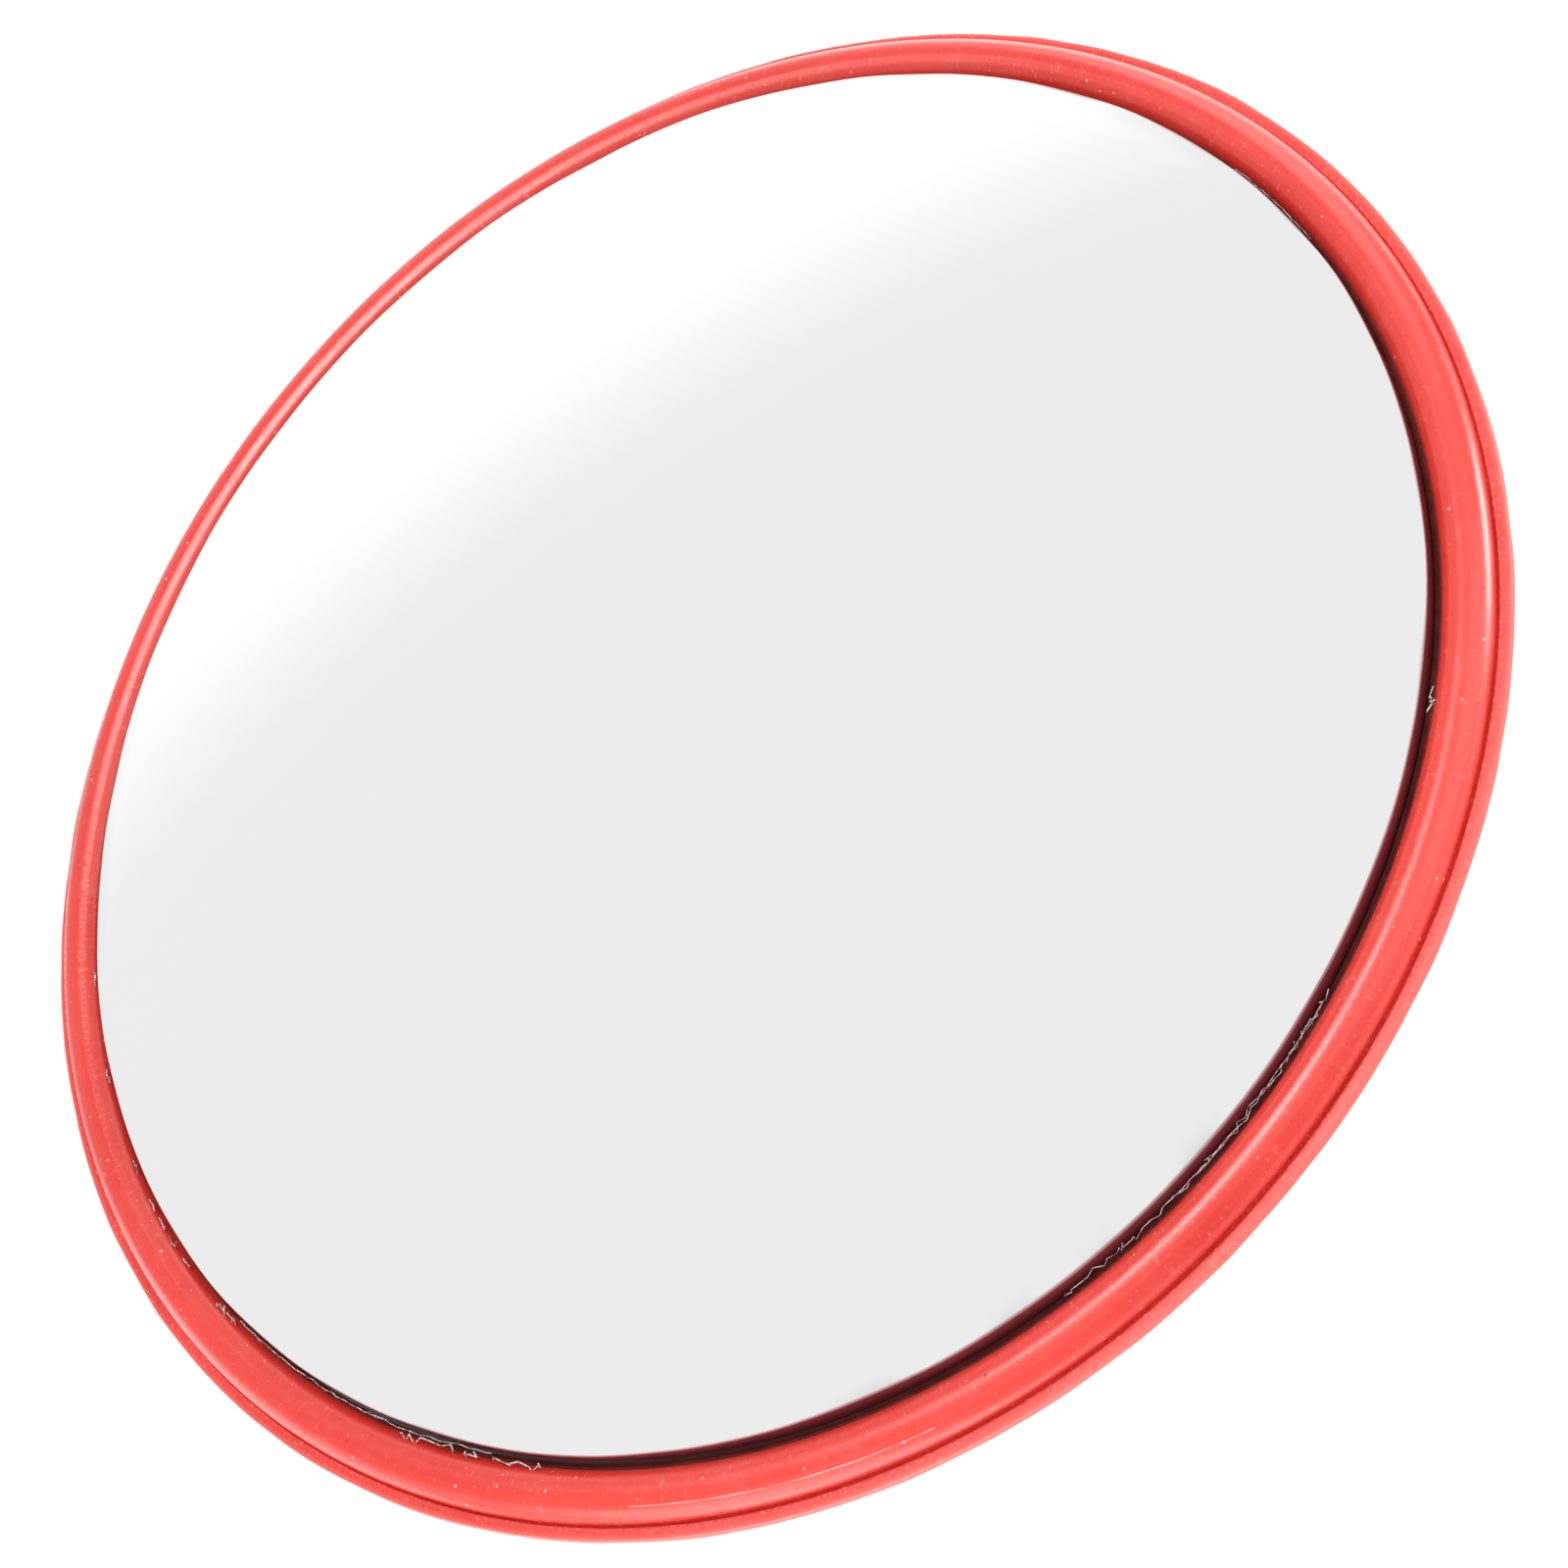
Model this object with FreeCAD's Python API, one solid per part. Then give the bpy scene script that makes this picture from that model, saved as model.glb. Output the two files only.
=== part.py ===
"""Traffic convex mirror, 300 mm class, with its pole bracket.

Units are millimetres.  The origin is on the pole's axis at the middle of the
clamp.  +Z runs up the pole, and the mirror faces -Y.  Every shape below is a
separate physical piece and is written to its own file.
"""
import FreeCAD, Part
import math
import os

Vec = FreeCAD.Vector
X_AXIS = Vec(1, 0, 0)
Y_AXIS = Vec(0, 1, 0)
Z_AXIS = Vec(0, 0, 1)

# ---------------------------------------------------------------- driving dimensions

# Pole clamp
pole_radius = 30.0
liner_thickness = 2.0
liner_height = 36.0
strap_thickness = 3.0
strap_height = 40.0
ear_gap_half = 4.0
ear_reach = 60.0
ear_corner = 8.0
ear_bend_radius = 3.0
clamp_bolt_x = 47.0
clamp_bolt_length = 45.0

# Swivel: a vertical bolt through a lug on the front half of the clamp
swivel_distance = 58.0
lug_thickness = 4.0
lug_round = 15.0
fork_thickness = 3.0
fork_round = 16.0
friction_washer_thickness = 1.5

# Tilt: a horizontal bolt through the fork's ears and the clevis's ears
tilt_distance = 80.0
fork_ear_inside = 9.0
fork_ear_round = 12.0
clevis_thickness = 3.0
clevis_ear_round = 13.0
clevis_root_half = 19.0
clevis_web_distance = 20.0

# Mirror head
plate_side = 80.0
plate_corner = 8.0
back_plate_thickness = 2.5
inner_plate_thickness = 2.0
screw_spacing = 60.0
shell_depth = 22.0
shell_sheet = 2.5
flange_radius = 160.0
flange_thickness = 2.2
shell_mouth_radius = 142.6
rib_count = 8
rib_thickness = 2.5
bead_centre_radius = 152.2
bead_half_width = 5.2
bead_rise = 4.4
bead_widest_height = 0.95
bead_foot_radius = 156.6
lens_sphere_radius = 400.0
lens_edge_radius = 146.2
lens_edge_height = 6.3
lens_edge_rounding = 0.6
lens_sheet = 2.0
lens_flange_radius = 151.5
glue_gap = 0.3
glue_height = 3.2

# Standard fasteners: M8 and M5
m8 = {"radius": 4.0, "across_flats": 13.0, "head": 5.3, "nut": 6.5,
      "washer_radius": 8.0, "washer": 1.6, "spring_radius": 7.2, "spring": 2.0}
m5 = {"radius": 2.5, "across_flats": 8.0, "nut": 4.0, "pan_radius": 4.75, "pan": 3.6,
      "washer_radius": 5.0, "washer": 1.0}
nut_clearance = 0.05
pivot_clearance = 0.08
washer_clearance = 0.3
bolt_hole_clearance = 0.5
screw_length = 14.0

# ---------------------------------------------------------------- worked-out places

strap_inner = pole_radius + liner_thickness
strap_outer = strap_inner + strap_thickness
ear_outer_face = ear_gap_half + strap_thickness

lug_top = -strap_height / 2 + lug_thickness
fork_base_bottom = lug_top + friction_washer_thickness
fork_base_top = fork_base_bottom + fork_thickness

fork_ear_outside = fork_ear_inside + fork_thickness
clevis_ear_inside = fork_ear_outside + friction_washer_thickness
clevis_ear_outside = clevis_ear_inside + clevis_thickness

web_rear_y = -tilt_distance - clevis_web_distance
plate_rear_y = web_rear_y - clevis_thickness
shell_rear_y = plate_rear_y - back_plate_thickness
inner_plate_rear_y = shell_rear_y - shell_sheet
inner_nut_rear_y = inner_plate_rear_y - inner_plate_thickness
face_y = shell_rear_y - shell_depth

screw_places = [(x, z) for x in (-screw_spacing / 2, screw_spacing / 2)
                for z in (-screw_spacing / 2, screw_spacing / 2)]
clamp_sides = (-clamp_bolt_x, clamp_bolt_x)


# ---------------------------------------------------------------- small helpers

def rod(radius, length, start, direction):
    """A solid cylinder."""
    return Part.makeCylinder(radius, length, start, direction)


def tube(outer, inner, length, start, direction):
    """A solid ring with a round hole."""
    return rod(outer, length, start, direction).cut(rod(inner, length, start, direction))


def box(low, high):
    """A box from its lowest to its highest corner."""
    size = high - low
    return Part.makeBox(size.x, size.y, size.z, low)


def turned(edges):
    """A solid of revolution about the mirror's axis, from a closed section."""
    face = Part.Face(Part.Wire(edges))
    return face.revolve(Vec(0, 0, 0), Y_AXIS, 360)


def section_point(radius, height):
    """A point of the head's section: distance from the axis, height in front of the flange."""
    return Vec(radius, face_y - height, 0)


def line(start, end):
    """A straight edge of the head's section."""
    return Part.makeLine(section_point(*start), section_point(*end))


def arc(start, middle, end):
    """A round edge of the head's section."""
    points = [section_point(*p) for p in (start, middle, end)]
    return Part.Arc(*points).toShape()


def lines_through(points):
    """Straight edges from each point to the next."""
    return [line(a, b) for a, b in zip(points, points[1:])]


def hex_prism(across_flats, length, start, direction):
    """A six-sided bar whose end corners are turned down, as on a bolt head or a nut."""
    corner = across_flats / math.sqrt(3)
    points = []
    for step in range(7):
        angle = math.radians(60 * step)
        points.append(Vec(corner * math.cos(angle), corner * math.sin(angle), 0))
    bar = Part.Face(Part.makePolygon(points)).extrude(Vec(0, 0, length))
    chamfer = 0.12 * length
    cone_foot = across_flats / 2
    top_radius = cone_foot + 0.05
    side_radius = cone_foot + chamfer / math.tan(math.radians(30))
    body = Part.makeCone(side_radius, top_radius, chamfer, Vec(0, 0, length - chamfer), Z_AXIS)
    body = body.fuse(rod(side_radius, length - chamfer, Vec(0, 0, 0), Z_AXIS))
    bar = bar.common(body)
    return placed(bar, start, direction)


def placed(shape, start, direction):
    """A copy of a shape that was made at the origin along +Z, put where it goes."""
    result = shape.copy()
    result.Placement = FreeCAD.Placement(start, FreeCAD.Rotation(Z_AXIS, direction))
    return result


def hex_bolt(length, start, direction):
    """An M8 bolt.  start is under the head, direction points along the shank."""
    head = hex_prism(m8["across_flats"], m8["head"], start, direction.negative())
    tip = 1.0
    shank = rod(m8["radius"], length - tip, start, direction)
    point = Part.makeCone(m8["radius"], m8["radius"] - tip, tip,
                          start + direction * (length - tip), direction)
    return head.fuse([shank, point]).removeSplitter()


def hex_nut(size, start, direction):
    """A nut that stands on start and faces along direction."""
    body = hex_prism(size["across_flats"], size["nut"], start, direction)
    return body.cut(rod(size["radius"] + nut_clearance, size["nut"], start, direction))


def flat_washer(size, start, direction):
    """A plain washer that stands on start."""
    hole = size["radius"] + washer_clearance
    return tube(size["washer_radius"], hole, size["washer"], start, direction)


def spring_washer(start, direction):
    """A closed M8 split washer, with its slanted cut."""
    hole = m8["radius"] + washer_clearance
    ring = tube(m8["spring_radius"], hole, m8["spring"], Vec(0, 0, 0), Z_AXIS)
    slit_width = 0.8
    slit = Part.makeBox(m8["spring_radius"], slit_width, 3 * m8["spring"],
                        Vec(0, -slit_width / 2, -m8["spring"]))
    slit.rotate(Vec(0, 0, m8["spring"] / 2), X_AXIS, 25)
    return placed(ring.cut(slit), start, direction)


def rounded_plate(side, corner, thickness, rear_y):
    """A square plate with round corners.  It lies in front of rear_y."""
    half = side / 2
    plate = box(Vec(-half, rear_y - thickness, -half), Vec(half, rear_y, half))
    upright = [e for e in plate.Edges if abs(e.Length - thickness) < 0.01]
    return plate.makeFillet(corner, upright)


def with_screw_holes(shape, radius):
    """The shape with the four screw holes drilled through it along Y."""
    drills = []
    for x, z in screw_places:
        drills.append(rod(radius, 4 * shell_depth, Vec(x, plate_rear_y + shell_depth, z), -Y_AXIS))
    return shape.cut(drills)


# ---------------------------------------------------------------- the mirror head

def make_mirror_lens():
    """A thermoformed dome.  Its rim drops steeply to a narrow flat flange."""
    dome_end = lens_edge_radius - lens_edge_rounding
    centre = lens_edge_height - math.sqrt(lens_sphere_radius ** 2 - dome_end ** 2)
    inside_radius = lens_sphere_radius - lens_sheet
    wall_inside = lens_edge_radius - lens_sheet

    def outside(radius):
        return radius, centre + math.sqrt(lens_sphere_radius ** 2 - radius ** 2)

    def inside(radius):
        return radius, centre + math.sqrt(inside_radius ** 2 - radius ** 2)

    corner_middle = (lens_edge_radius - 0.18, lens_edge_height - 0.22)
    wall_top = (lens_edge_radius, lens_edge_height - lens_edge_rounding)
    edges = [
        arc(outside(0), outside(dome_end / 2), outside(dome_end)),
        arc(outside(dome_end), corner_middle, wall_top),
        line(wall_top, (lens_edge_radius, lens_sheet)),
        line((lens_edge_radius, lens_sheet), (lens_flange_radius, lens_sheet)),
        line((lens_flange_radius, lens_sheet), (lens_flange_radius, 0)),
        line((lens_flange_radius, 0), (wall_inside, 0)),
        line((wall_inside, 0), inside(wall_inside)),
        arc(inside(wall_inside), inside(wall_inside / 2), inside(0)),
        line(inside(0), outside(0)),
    ]
    return turned(edges)


def bead_point(angle):
    """A point of the bead's rounded front, from 0 at its outer side to 180 at its inner side."""
    turn = math.radians(angle)
    radius = bead_centre_radius + bead_half_width * math.cos(turn)
    return radius, bead_widest_height + bead_rise * math.sin(turn)


rebate_height = lens_sheet + glue_gap
rebate_radius = lens_flange_radius + glue_gap
bead_inner_angle = 180 - math.degrees(math.asin((rebate_height - bead_widest_height) / bead_rise))
bead_lip_radius = bead_point(bead_inner_angle)[0]


def make_edge_ring():
    """The rounded edging.  A rebate under its inner side traps the lens's flange."""
    steps = 10
    front = []
    for step in range(steps + 1):
        front.append(section_point(*bead_point(bead_inner_angle * step / steps)))
    crown = Part.BSplineCurve()
    crown.interpolate(front)
    edges = [
        line((rebate_radius, 0), (bead_foot_radius, 0)),
        line((bead_foot_radius, 0), bead_point(0)),
        crown.toShape(),
        line(bead_point(bead_inner_angle), (rebate_radius, rebate_height)),
        line((rebate_radius, rebate_height), (rebate_radius, 0)),
    ]
    return turned(edges)


def make_lens_adhesive():
    """Clear glue over the lens's flange and up the gap beside the bead."""
    return turned(lines_through([
        (lens_edge_radius, lens_sheet),
        (lens_flange_radius, lens_sheet),
        (lens_flange_radius, rebate_height),
        (bead_lip_radius, rebate_height),
        (bead_lip_radius - glue_gap, glue_height),
        (lens_edge_radius, glue_height),
        (lens_edge_radius, lens_sheet),
    ]))


def make_back_shell():
    """A shallow formed dish with a flat boss, eight ribs and a thin trimmed flange."""
    boss = 55.0
    boss_foot = 60.0
    dish_foot = -18.5
    dish_middle = 104.0
    wall_foot = 144.5
    wall_foot_height = -7.0
    floor = shell_sheet - shell_depth
    outside = [
        line((0, -shell_depth), (boss, -shell_depth)),
        line((boss, -shell_depth), (boss_foot, dish_foot)),
        arc((boss_foot, dish_foot), (dish_middle, -15.2), (wall_foot, wall_foot_height)),
        line((wall_foot, wall_foot_height), (148.0, -flange_thickness)),
        line((148.0, -flange_thickness), (flange_radius, -flange_thickness)),
        line((flange_radius, -flange_thickness), (flange_radius, 0)),
    ]
    inside = [
        line((flange_radius, 0), (shell_mouth_radius, 0)),
        line((shell_mouth_radius, 0), (shell_mouth_radius, -5.0)),
        arc((shell_mouth_radius, -5.0), (dish_middle - 1, -12.9), (59.0, -16.1)),
        line((59.0, -16.1), (54.0, floor)),
        line((54.0, floor), (0, floor)),
        line((0, floor), (0, -shell_depth)),
    ]
    shell = turned(outside + inside)
    rib_outline = [(57.0, -20.6), (100.0, -18.6), (138.0, -11.4), (143.5, -7.0),
                   (138.0, -6.4), (100.0, -14.0), (57.5, -17.2), (57.0, -20.6)]
    points = [section_point(*p) for p in rib_outline]
    rib_side = Part.Face(Part.makePolygon(points))
    rib_side.translate(Vec(0, 0, -rib_thickness / 2))
    rib = rib_side.extrude(Vec(0, 0, rib_thickness))
    ribs = []
    for step in range(rib_count):
        copy = rib.copy()
        copy.rotate(Vec(0, 0, 0), Y_AXIS, 360 / rib_count * (step + 0.5))
        ribs.append(copy)
    shell = shell.fuse(ribs).removeSplitter()
    return with_screw_holes(shell, m5["radius"] + bolt_hole_clearance)


def make_inner_plate():
    """A steel plate inside the shell, behind the lens."""
    plate = rounded_plate(plate_side - 6, plate_corner, inner_plate_thickness, inner_plate_rear_y)
    return with_screw_holes(plate, m5["radius"] + bolt_hole_clearance)


def make_back_plate():
    """A steel plate on the shell's boss."""
    plate = rounded_plate(plate_side, plate_corner, back_plate_thickness, plate_rear_y)
    return with_screw_holes(plate, m5["radius"] + bolt_hole_clearance)


def make_inner_nuts():
    """Nuts on the inner plate."""
    nuts = [hex_nut(m5, Vec(x, inner_nut_rear_y, z), -Y_AXIS) for x, z in screw_places]
    return Part.makeCompound(nuts)


def make_plate_washers():
    """Washers under the screw heads."""
    washers = [flat_washer(m5, Vec(x, plate_rear_y, z), Y_AXIS) for x, z in screw_places]
    return Part.makeCompound(washers)


def make_plate_screws():
    """Pan head screws with a cross recess, put in from behind."""
    screws = []
    for x, z in screw_places:
        start = Vec(x, plate_rear_y + m5["washer"], z)
        head = rod(m5["pan_radius"], m5["pan"], start, Y_AXIS)
        rim = [e for e in head.Edges if e.BoundBox.YMin > start.y + m5["pan"] - 0.01]
        head = head.makeFillet(1.6, rim)
        shank = rod(m5["radius"], screw_length, start, -Y_AXIS)
        screw = head.fuse(shank)
        slot_half = 2.2
        slot_width = 0.55
        top = start.y + m5["pan"]
        depth = 2.0
        for a, b in ((slot_half, slot_width), (slot_width, slot_half)):
            screw = screw.cut(box(Vec(x - a, top - depth, z - b), Vec(x + a, top + depth, z + b)))
        screws.append(screw)
    return Part.makeCompound(screws)


def rounded_ear(inside, outside, corners, end_round, hole):
    """An ear on each side of the middle: an outline of straight edges, and a round end
    about the tilt bolt, with its hole."""
    pair = []
    for low, high in ((-outside, -inside), (inside, outside)):
        thickness = high - low
        centre = Vec(low, -tilt_distance, 0)
        points = [Vec(low, y, z) for y, z in corners + corners[:1]]
        plate = Part.Face(Part.makePolygon(points)).extrude(Vec(thickness, 0, 0))
        plate = plate.fuse(rod(end_round, thickness, centre, X_AXIS))
        pair.append(plate.cut(rod(hole, thickness, centre, X_AXIS)))
    return pair


def make_tilt_clevis():
    """A steel channel welded to the back plate.  Its two ears hold the tilt bolt."""
    axis_y = -tilt_distance
    corners = [(web_rear_y - clevis_thickness, -clevis_root_half), (axis_y, -clevis_ear_round),
               (axis_y, clevis_ear_round), (web_rear_y - clevis_thickness, clevis_root_half)]
    hole = m8["radius"] + pivot_clearance
    ears = rounded_ear(clevis_ear_inside, clevis_ear_outside, corners, clevis_ear_round, hole)
    web = box(Vec(-clevis_ear_outside, web_rear_y - clevis_thickness, -clevis_root_half),
              Vec(clevis_ear_outside, web_rear_y, clevis_root_half))
    channel = web.fuse(ears).removeSplitter()
    bends = long_edges_at(channel, Z_AXIS, clevis_ear_outside, web_rear_y - clevis_thickness)
    return channel.makeFillet(clevis_thickness - 0.5, bends)


def long_edges_at(shape, direction, x_distance, y):
    """The straight edges that run along direction at the given distances."""
    found = []
    for edge in shape.Edges:
        middle = edge.BoundBox.Center
        along = edge.Vertexes[-1].Point - edge.Vertexes[0].Point
        parallel = along.Length > 1 and abs(along.normalize().dot(direction)) > 0.999
        if parallel and abs(abs(middle.x) - x_distance) < 0.01 and abs(middle.y - y) < 0.01:
            found.append(edge)
    return found


# ---------------------------------------------------------------- the tilt bolt and its stack

def make_tilt_bolt():
    """The horizontal bolt.  Its head is on the -X side."""
    under_head = clevis_ear_outside + m8["washer"]
    length = 2 * under_head + m8["spring"] + m8["nut"] + 2.7
    return hex_bolt(length, Vec(-under_head, -tilt_distance, 0), X_AXIS)


def make_tilt_washers():
    """A plain washer outside each ear."""
    low = flat_washer(m8, Vec(-clevis_ear_outside, -tilt_distance, 0), -X_AXIS)
    high = flat_washer(m8, Vec(clevis_ear_outside, -tilt_distance, 0), X_AXIS)
    return Part.makeCompound([low, high])


def make_tilt_spring_washer():
    """The split washer under the nut."""
    start = clevis_ear_outside + m8["washer"]
    return spring_washer(Vec(start, -tilt_distance, 0), X_AXIS)


def make_tilt_nut():
    """The nut on the +X side."""
    start = clevis_ear_outside + m8["washer"] + m8["spring"]
    return hex_nut(m8, Vec(start, -tilt_distance, 0), X_AXIS)


def make_friction_washers():
    """Nylon discs between the fork's ears and the clevis's ears."""
    hole = m8["radius"] + pivot_clearance
    discs = []
    for side in (-1, 1):
        start = Vec(side * fork_ear_outside, -tilt_distance, 0)
        discs.append(tube(10.0, hole, friction_washer_thickness, start, X_AXIS * side))
    return Part.makeCompound(discs)


def make_tilt_sleeve():
    """A steel tube that keeps the fork's ears apart when the bolt is tight."""
    start = Vec(-fork_ear_inside, -tilt_distance, 0)
    return tube(6.5, m8["radius"] + pivot_clearance, 2 * fork_ear_inside, start, X_AXIS)


# ---------------------------------------------------------------- the swivel

def make_swivel_fork():
    """A bent steel fork: a flat foot on the lug, and two ears for the tilt bolt."""
    axis_y = -tilt_distance
    hole = m8["radius"] + pivot_clearance
    corners = [(axis_y - fork_ear_round, fork_base_bottom), (axis_y + fork_ear_round, fork_base_bottom),
               (axis_y + fork_ear_round, 0), (axis_y - fork_ear_round, 0)]
    ears = rounded_ear(fork_ear_inside, fork_ear_outside, corners, fork_ear_round, hole)
    foot = box(Vec(-fork_ear_outside, axis_y - fork_ear_round, fork_base_bottom),
               Vec(fork_ear_outside, -swivel_distance, fork_base_top))
    heel = rod(fork_round, fork_thickness, Vec(0, -swivel_distance, fork_base_bottom), Z_AXIS)
    fork = foot.fuse([heel] + ears).removeSplitter()
    fork = fork.cut(rod(hole, strap_height, Vec(0, -swivel_distance, fork_base_bottom), Z_AXIS))
    bends = []
    for edge in fork.Edges:
        middle = edge.BoundBox.Center
        low = abs(middle.z - fork_base_bottom) < 0.01
        outside = abs(abs(middle.x) - fork_ear_outside) < 0.01
        if low and outside and edge.BoundBox.YLength > fork_ear_round:
            bends.append(edge)
    return fork.makeFillet(fork_thickness - 0.5, bends)


def make_swivel_friction_washer():
    """A nylon disc between the lug and the fork's foot."""
    hole = m8["radius"] + washer_clearance
    start = Vec(0, -swivel_distance, lug_top)
    return tube(12.0, hole, friction_washer_thickness, start, Z_AXIS)


def make_swivel_bolt():
    """The vertical bolt.  Its head is under the lug."""
    under_head = lug_top - lug_thickness - m8["washer"]
    top = fork_base_top + m8["washer"] + m8["spring"] + m8["nut"] + 2.3
    return hex_bolt(top - under_head, Vec(0, -swivel_distance, under_head), Z_AXIS)


def make_swivel_washers():
    """A plain washer under the lug and one on the fork's foot."""
    low = flat_washer(m8, Vec(0, -swivel_distance, lug_top - lug_thickness), -Z_AXIS)
    high = flat_washer(m8, Vec(0, -swivel_distance, fork_base_top), Z_AXIS)
    return Part.makeCompound([low, high])


def make_swivel_spring_washer():
    """The split washer under the swivel nut."""
    return spring_washer(Vec(0, -swivel_distance, fork_base_top + m8["washer"]), Z_AXIS)


def make_swivel_nut():
    """The nut on top."""
    start = fork_base_top + m8["washer"] + m8["spring"]
    return hex_nut(m8, Vec(0, -swivel_distance, start), Z_AXIS)


# ---------------------------------------------------------------- the pole clamp

def half_strap(side):
    """Half of the hoop with its two drilled ears.  side is -1 in front of the pole, 1 behind."""
    half = strap_height / 2
    hoop = tube(strap_outer, strap_inner, strap_height, Vec(0, 0, -half), Z_AXIS)
    bore = rod(strap_inner, strap_height, Vec(0, 0, -half), Z_AXIS)
    near = side * ear_gap_half
    far = side * 2 * strap_outer
    keep = box(Vec(-ear_reach, min(near, far), -half), Vec(ear_reach, max(near, far), half))
    strap = hoop.common(keep)
    low = min(near, side * ear_outer_face)
    high = max(near, side * ear_outer_face)
    ears = box(Vec(-ear_reach, low, -half), Vec(ear_reach, high, half))
    corners = [e for e in ears.Edges
               if e.BoundBox.YLength > strap_thickness / 2 and abs(e.BoundBox.Center.x) > ear_reach - 1]
    ears = ears.makeFillet(ear_corner, corners)
    strap = strap.fuse(ears.cut(bore)).removeSplitter()
    bend_x = math.sqrt(strap_outer ** 2 - ear_outer_face ** 2)
    bends = long_edges_at(strap, Z_AXIS, bend_x, side * ear_outer_face)
    strap = strap.makeFillet(ear_bend_radius, bends)
    for x in clamp_sides:
        hole = m8["radius"] + bolt_hole_clearance
        strap = strap.cut(rod(hole, 4 * strap_thickness, Vec(x, low - strap_thickness, 0), Y_AXIS))
    return strap


def half_liner(side):
    """A rubber strip inside half of the hoop."""
    half = liner_height / 2
    ring = tube(strap_inner, pole_radius, liner_height, Vec(0, 0, -half), Z_AXIS)
    near = side * (ear_gap_half + 2.0)
    far = side * 2 * strap_outer
    keep = box(Vec(-strap_outer, min(near, far), -half), Vec(strap_outer, max(near, far), half))
    return ring.common(keep)


def make_clamp_front():
    """The front half hoop with the welded lug that holds the swivel bolt."""
    lug_bottom = lug_top - lug_thickness
    arm = box(Vec(-lug_round, -swivel_distance, lug_bottom), Vec(lug_round, 0, lug_top))
    end = rod(lug_round, lug_thickness, Vec(0, -swivel_distance, lug_bottom), Z_AXIS)
    lug = arm.fuse(end).cut(rod(strap_inner + 1, strap_height, Vec(0, 0, -strap_height / 2), Z_AXIS))
    front = half_strap(-1).fuse(lug).removeSplitter()
    hole = m8["radius"] + washer_clearance
    return front.cut(rod(hole, 3 * lug_thickness, Vec(0, -swivel_distance, lug_bottom - 1), Z_AXIS))


def make_clamp_rear():
    """The rear half hoop."""
    return half_strap(1)


def make_front_liner():
    """The rubber strip in the front half."""
    return half_liner(-1)


def make_rear_liner():
    """The rubber strip in the rear half."""
    return half_liner(1)


def at_both_ears(make_one, y):
    """The same fastener at both clamp ears, facing back from y."""
    return Part.makeCompound([make_one(Vec(x, y, 0)) for x in clamp_sides])


def make_clamp_bolts():
    """Two bolts through the ears, heads in front."""
    y = -ear_outer_face - m8["washer"]
    return at_both_ears(lambda start: hex_bolt(clamp_bolt_length, start, Y_AXIS), y)


def make_clamp_head_washers():
    """Plain washers under the heads."""
    return at_both_ears(lambda start: flat_washer(m8, start, -Y_AXIS), -ear_outer_face)


def make_clamp_washers():
    """Plain washers on the rear ears."""
    return at_both_ears(lambda start: flat_washer(m8, start, Y_AXIS), ear_outer_face)


def make_clamp_spring_washers():
    """Split washers under the nuts."""
    y = ear_outer_face + m8["washer"]
    return at_both_ears(lambda start: spring_washer(start, Y_AXIS), y)


def make_clamp_nuts():
    """Nuts behind the rear ears."""
    y = ear_outer_face + m8["washer"] + m8["spring"]
    return at_both_ears(lambda start: hex_nut(m8, start, Y_AXIS), y)


pieces = {
    "mirror_lens": make_mirror_lens,
    "edge_ring": make_edge_ring,
    "lens_adhesive": make_lens_adhesive,
    "back_shell": make_back_shell,
    "inner_plate": make_inner_plate,
    "inner_nuts": make_inner_nuts,
    "back_plate": make_back_plate,
    "plate_washers": make_plate_washers,
    "plate_screws": make_plate_screws,
    "tilt_clevis": make_tilt_clevis,
    "tilt_bolt": make_tilt_bolt,
    "tilt_washers": make_tilt_washers,
    "tilt_spring_washer": make_tilt_spring_washer,
    "tilt_nut": make_tilt_nut,
    "friction_washers": make_friction_washers,
    "tilt_sleeve": make_tilt_sleeve,
    "swivel_fork": make_swivel_fork,
    "swivel_friction_washer": make_swivel_friction_washer,
    "swivel_bolt": make_swivel_bolt,
    "swivel_washers": make_swivel_washers,
    "swivel_spring_washer": make_swivel_spring_washer,
    "swivel_nut": make_swivel_nut,
    "clamp_front": make_clamp_front,
    "clamp_rear": make_clamp_rear,
    "front_liner": make_front_liner,
    "rear_liner": make_rear_liner,
    "clamp_bolts": make_clamp_bolts,
    "clamp_head_washers": make_clamp_head_washers,
    "clamp_washers": make_clamp_washers,
    "clamp_spring_washers": make_clamp_spring_washers,
    "clamp_nuts": make_clamp_nuts,
}

os.makedirs("parts", exist_ok=True)
for name, make in pieces.items():
    shape = make()
    shape.exportStep(f"parts/{name}.step")
    print(f"{name:24s} solids {len(shape.Solids)}  volume {shape.Volume:10.1f}  valid {shape.isValid()}")
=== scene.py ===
# %% [markdown]
# # A traffic convex mirror on its pole bracket
#
# This lesson dresses a finished CAD model of a 300 mm traffic mirror.  The CAD model says where
# every piece sits and how it moves.  Here each visible piece is modelled again with rounded
# edges, real threads and hand-trimmed plastic, and gets a finish that follows its real material.
# All sizes in the cells are in millimetres, and `MM` turns them into Blender's metres.

# %% Load the fixed frame
import math
import random

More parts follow.
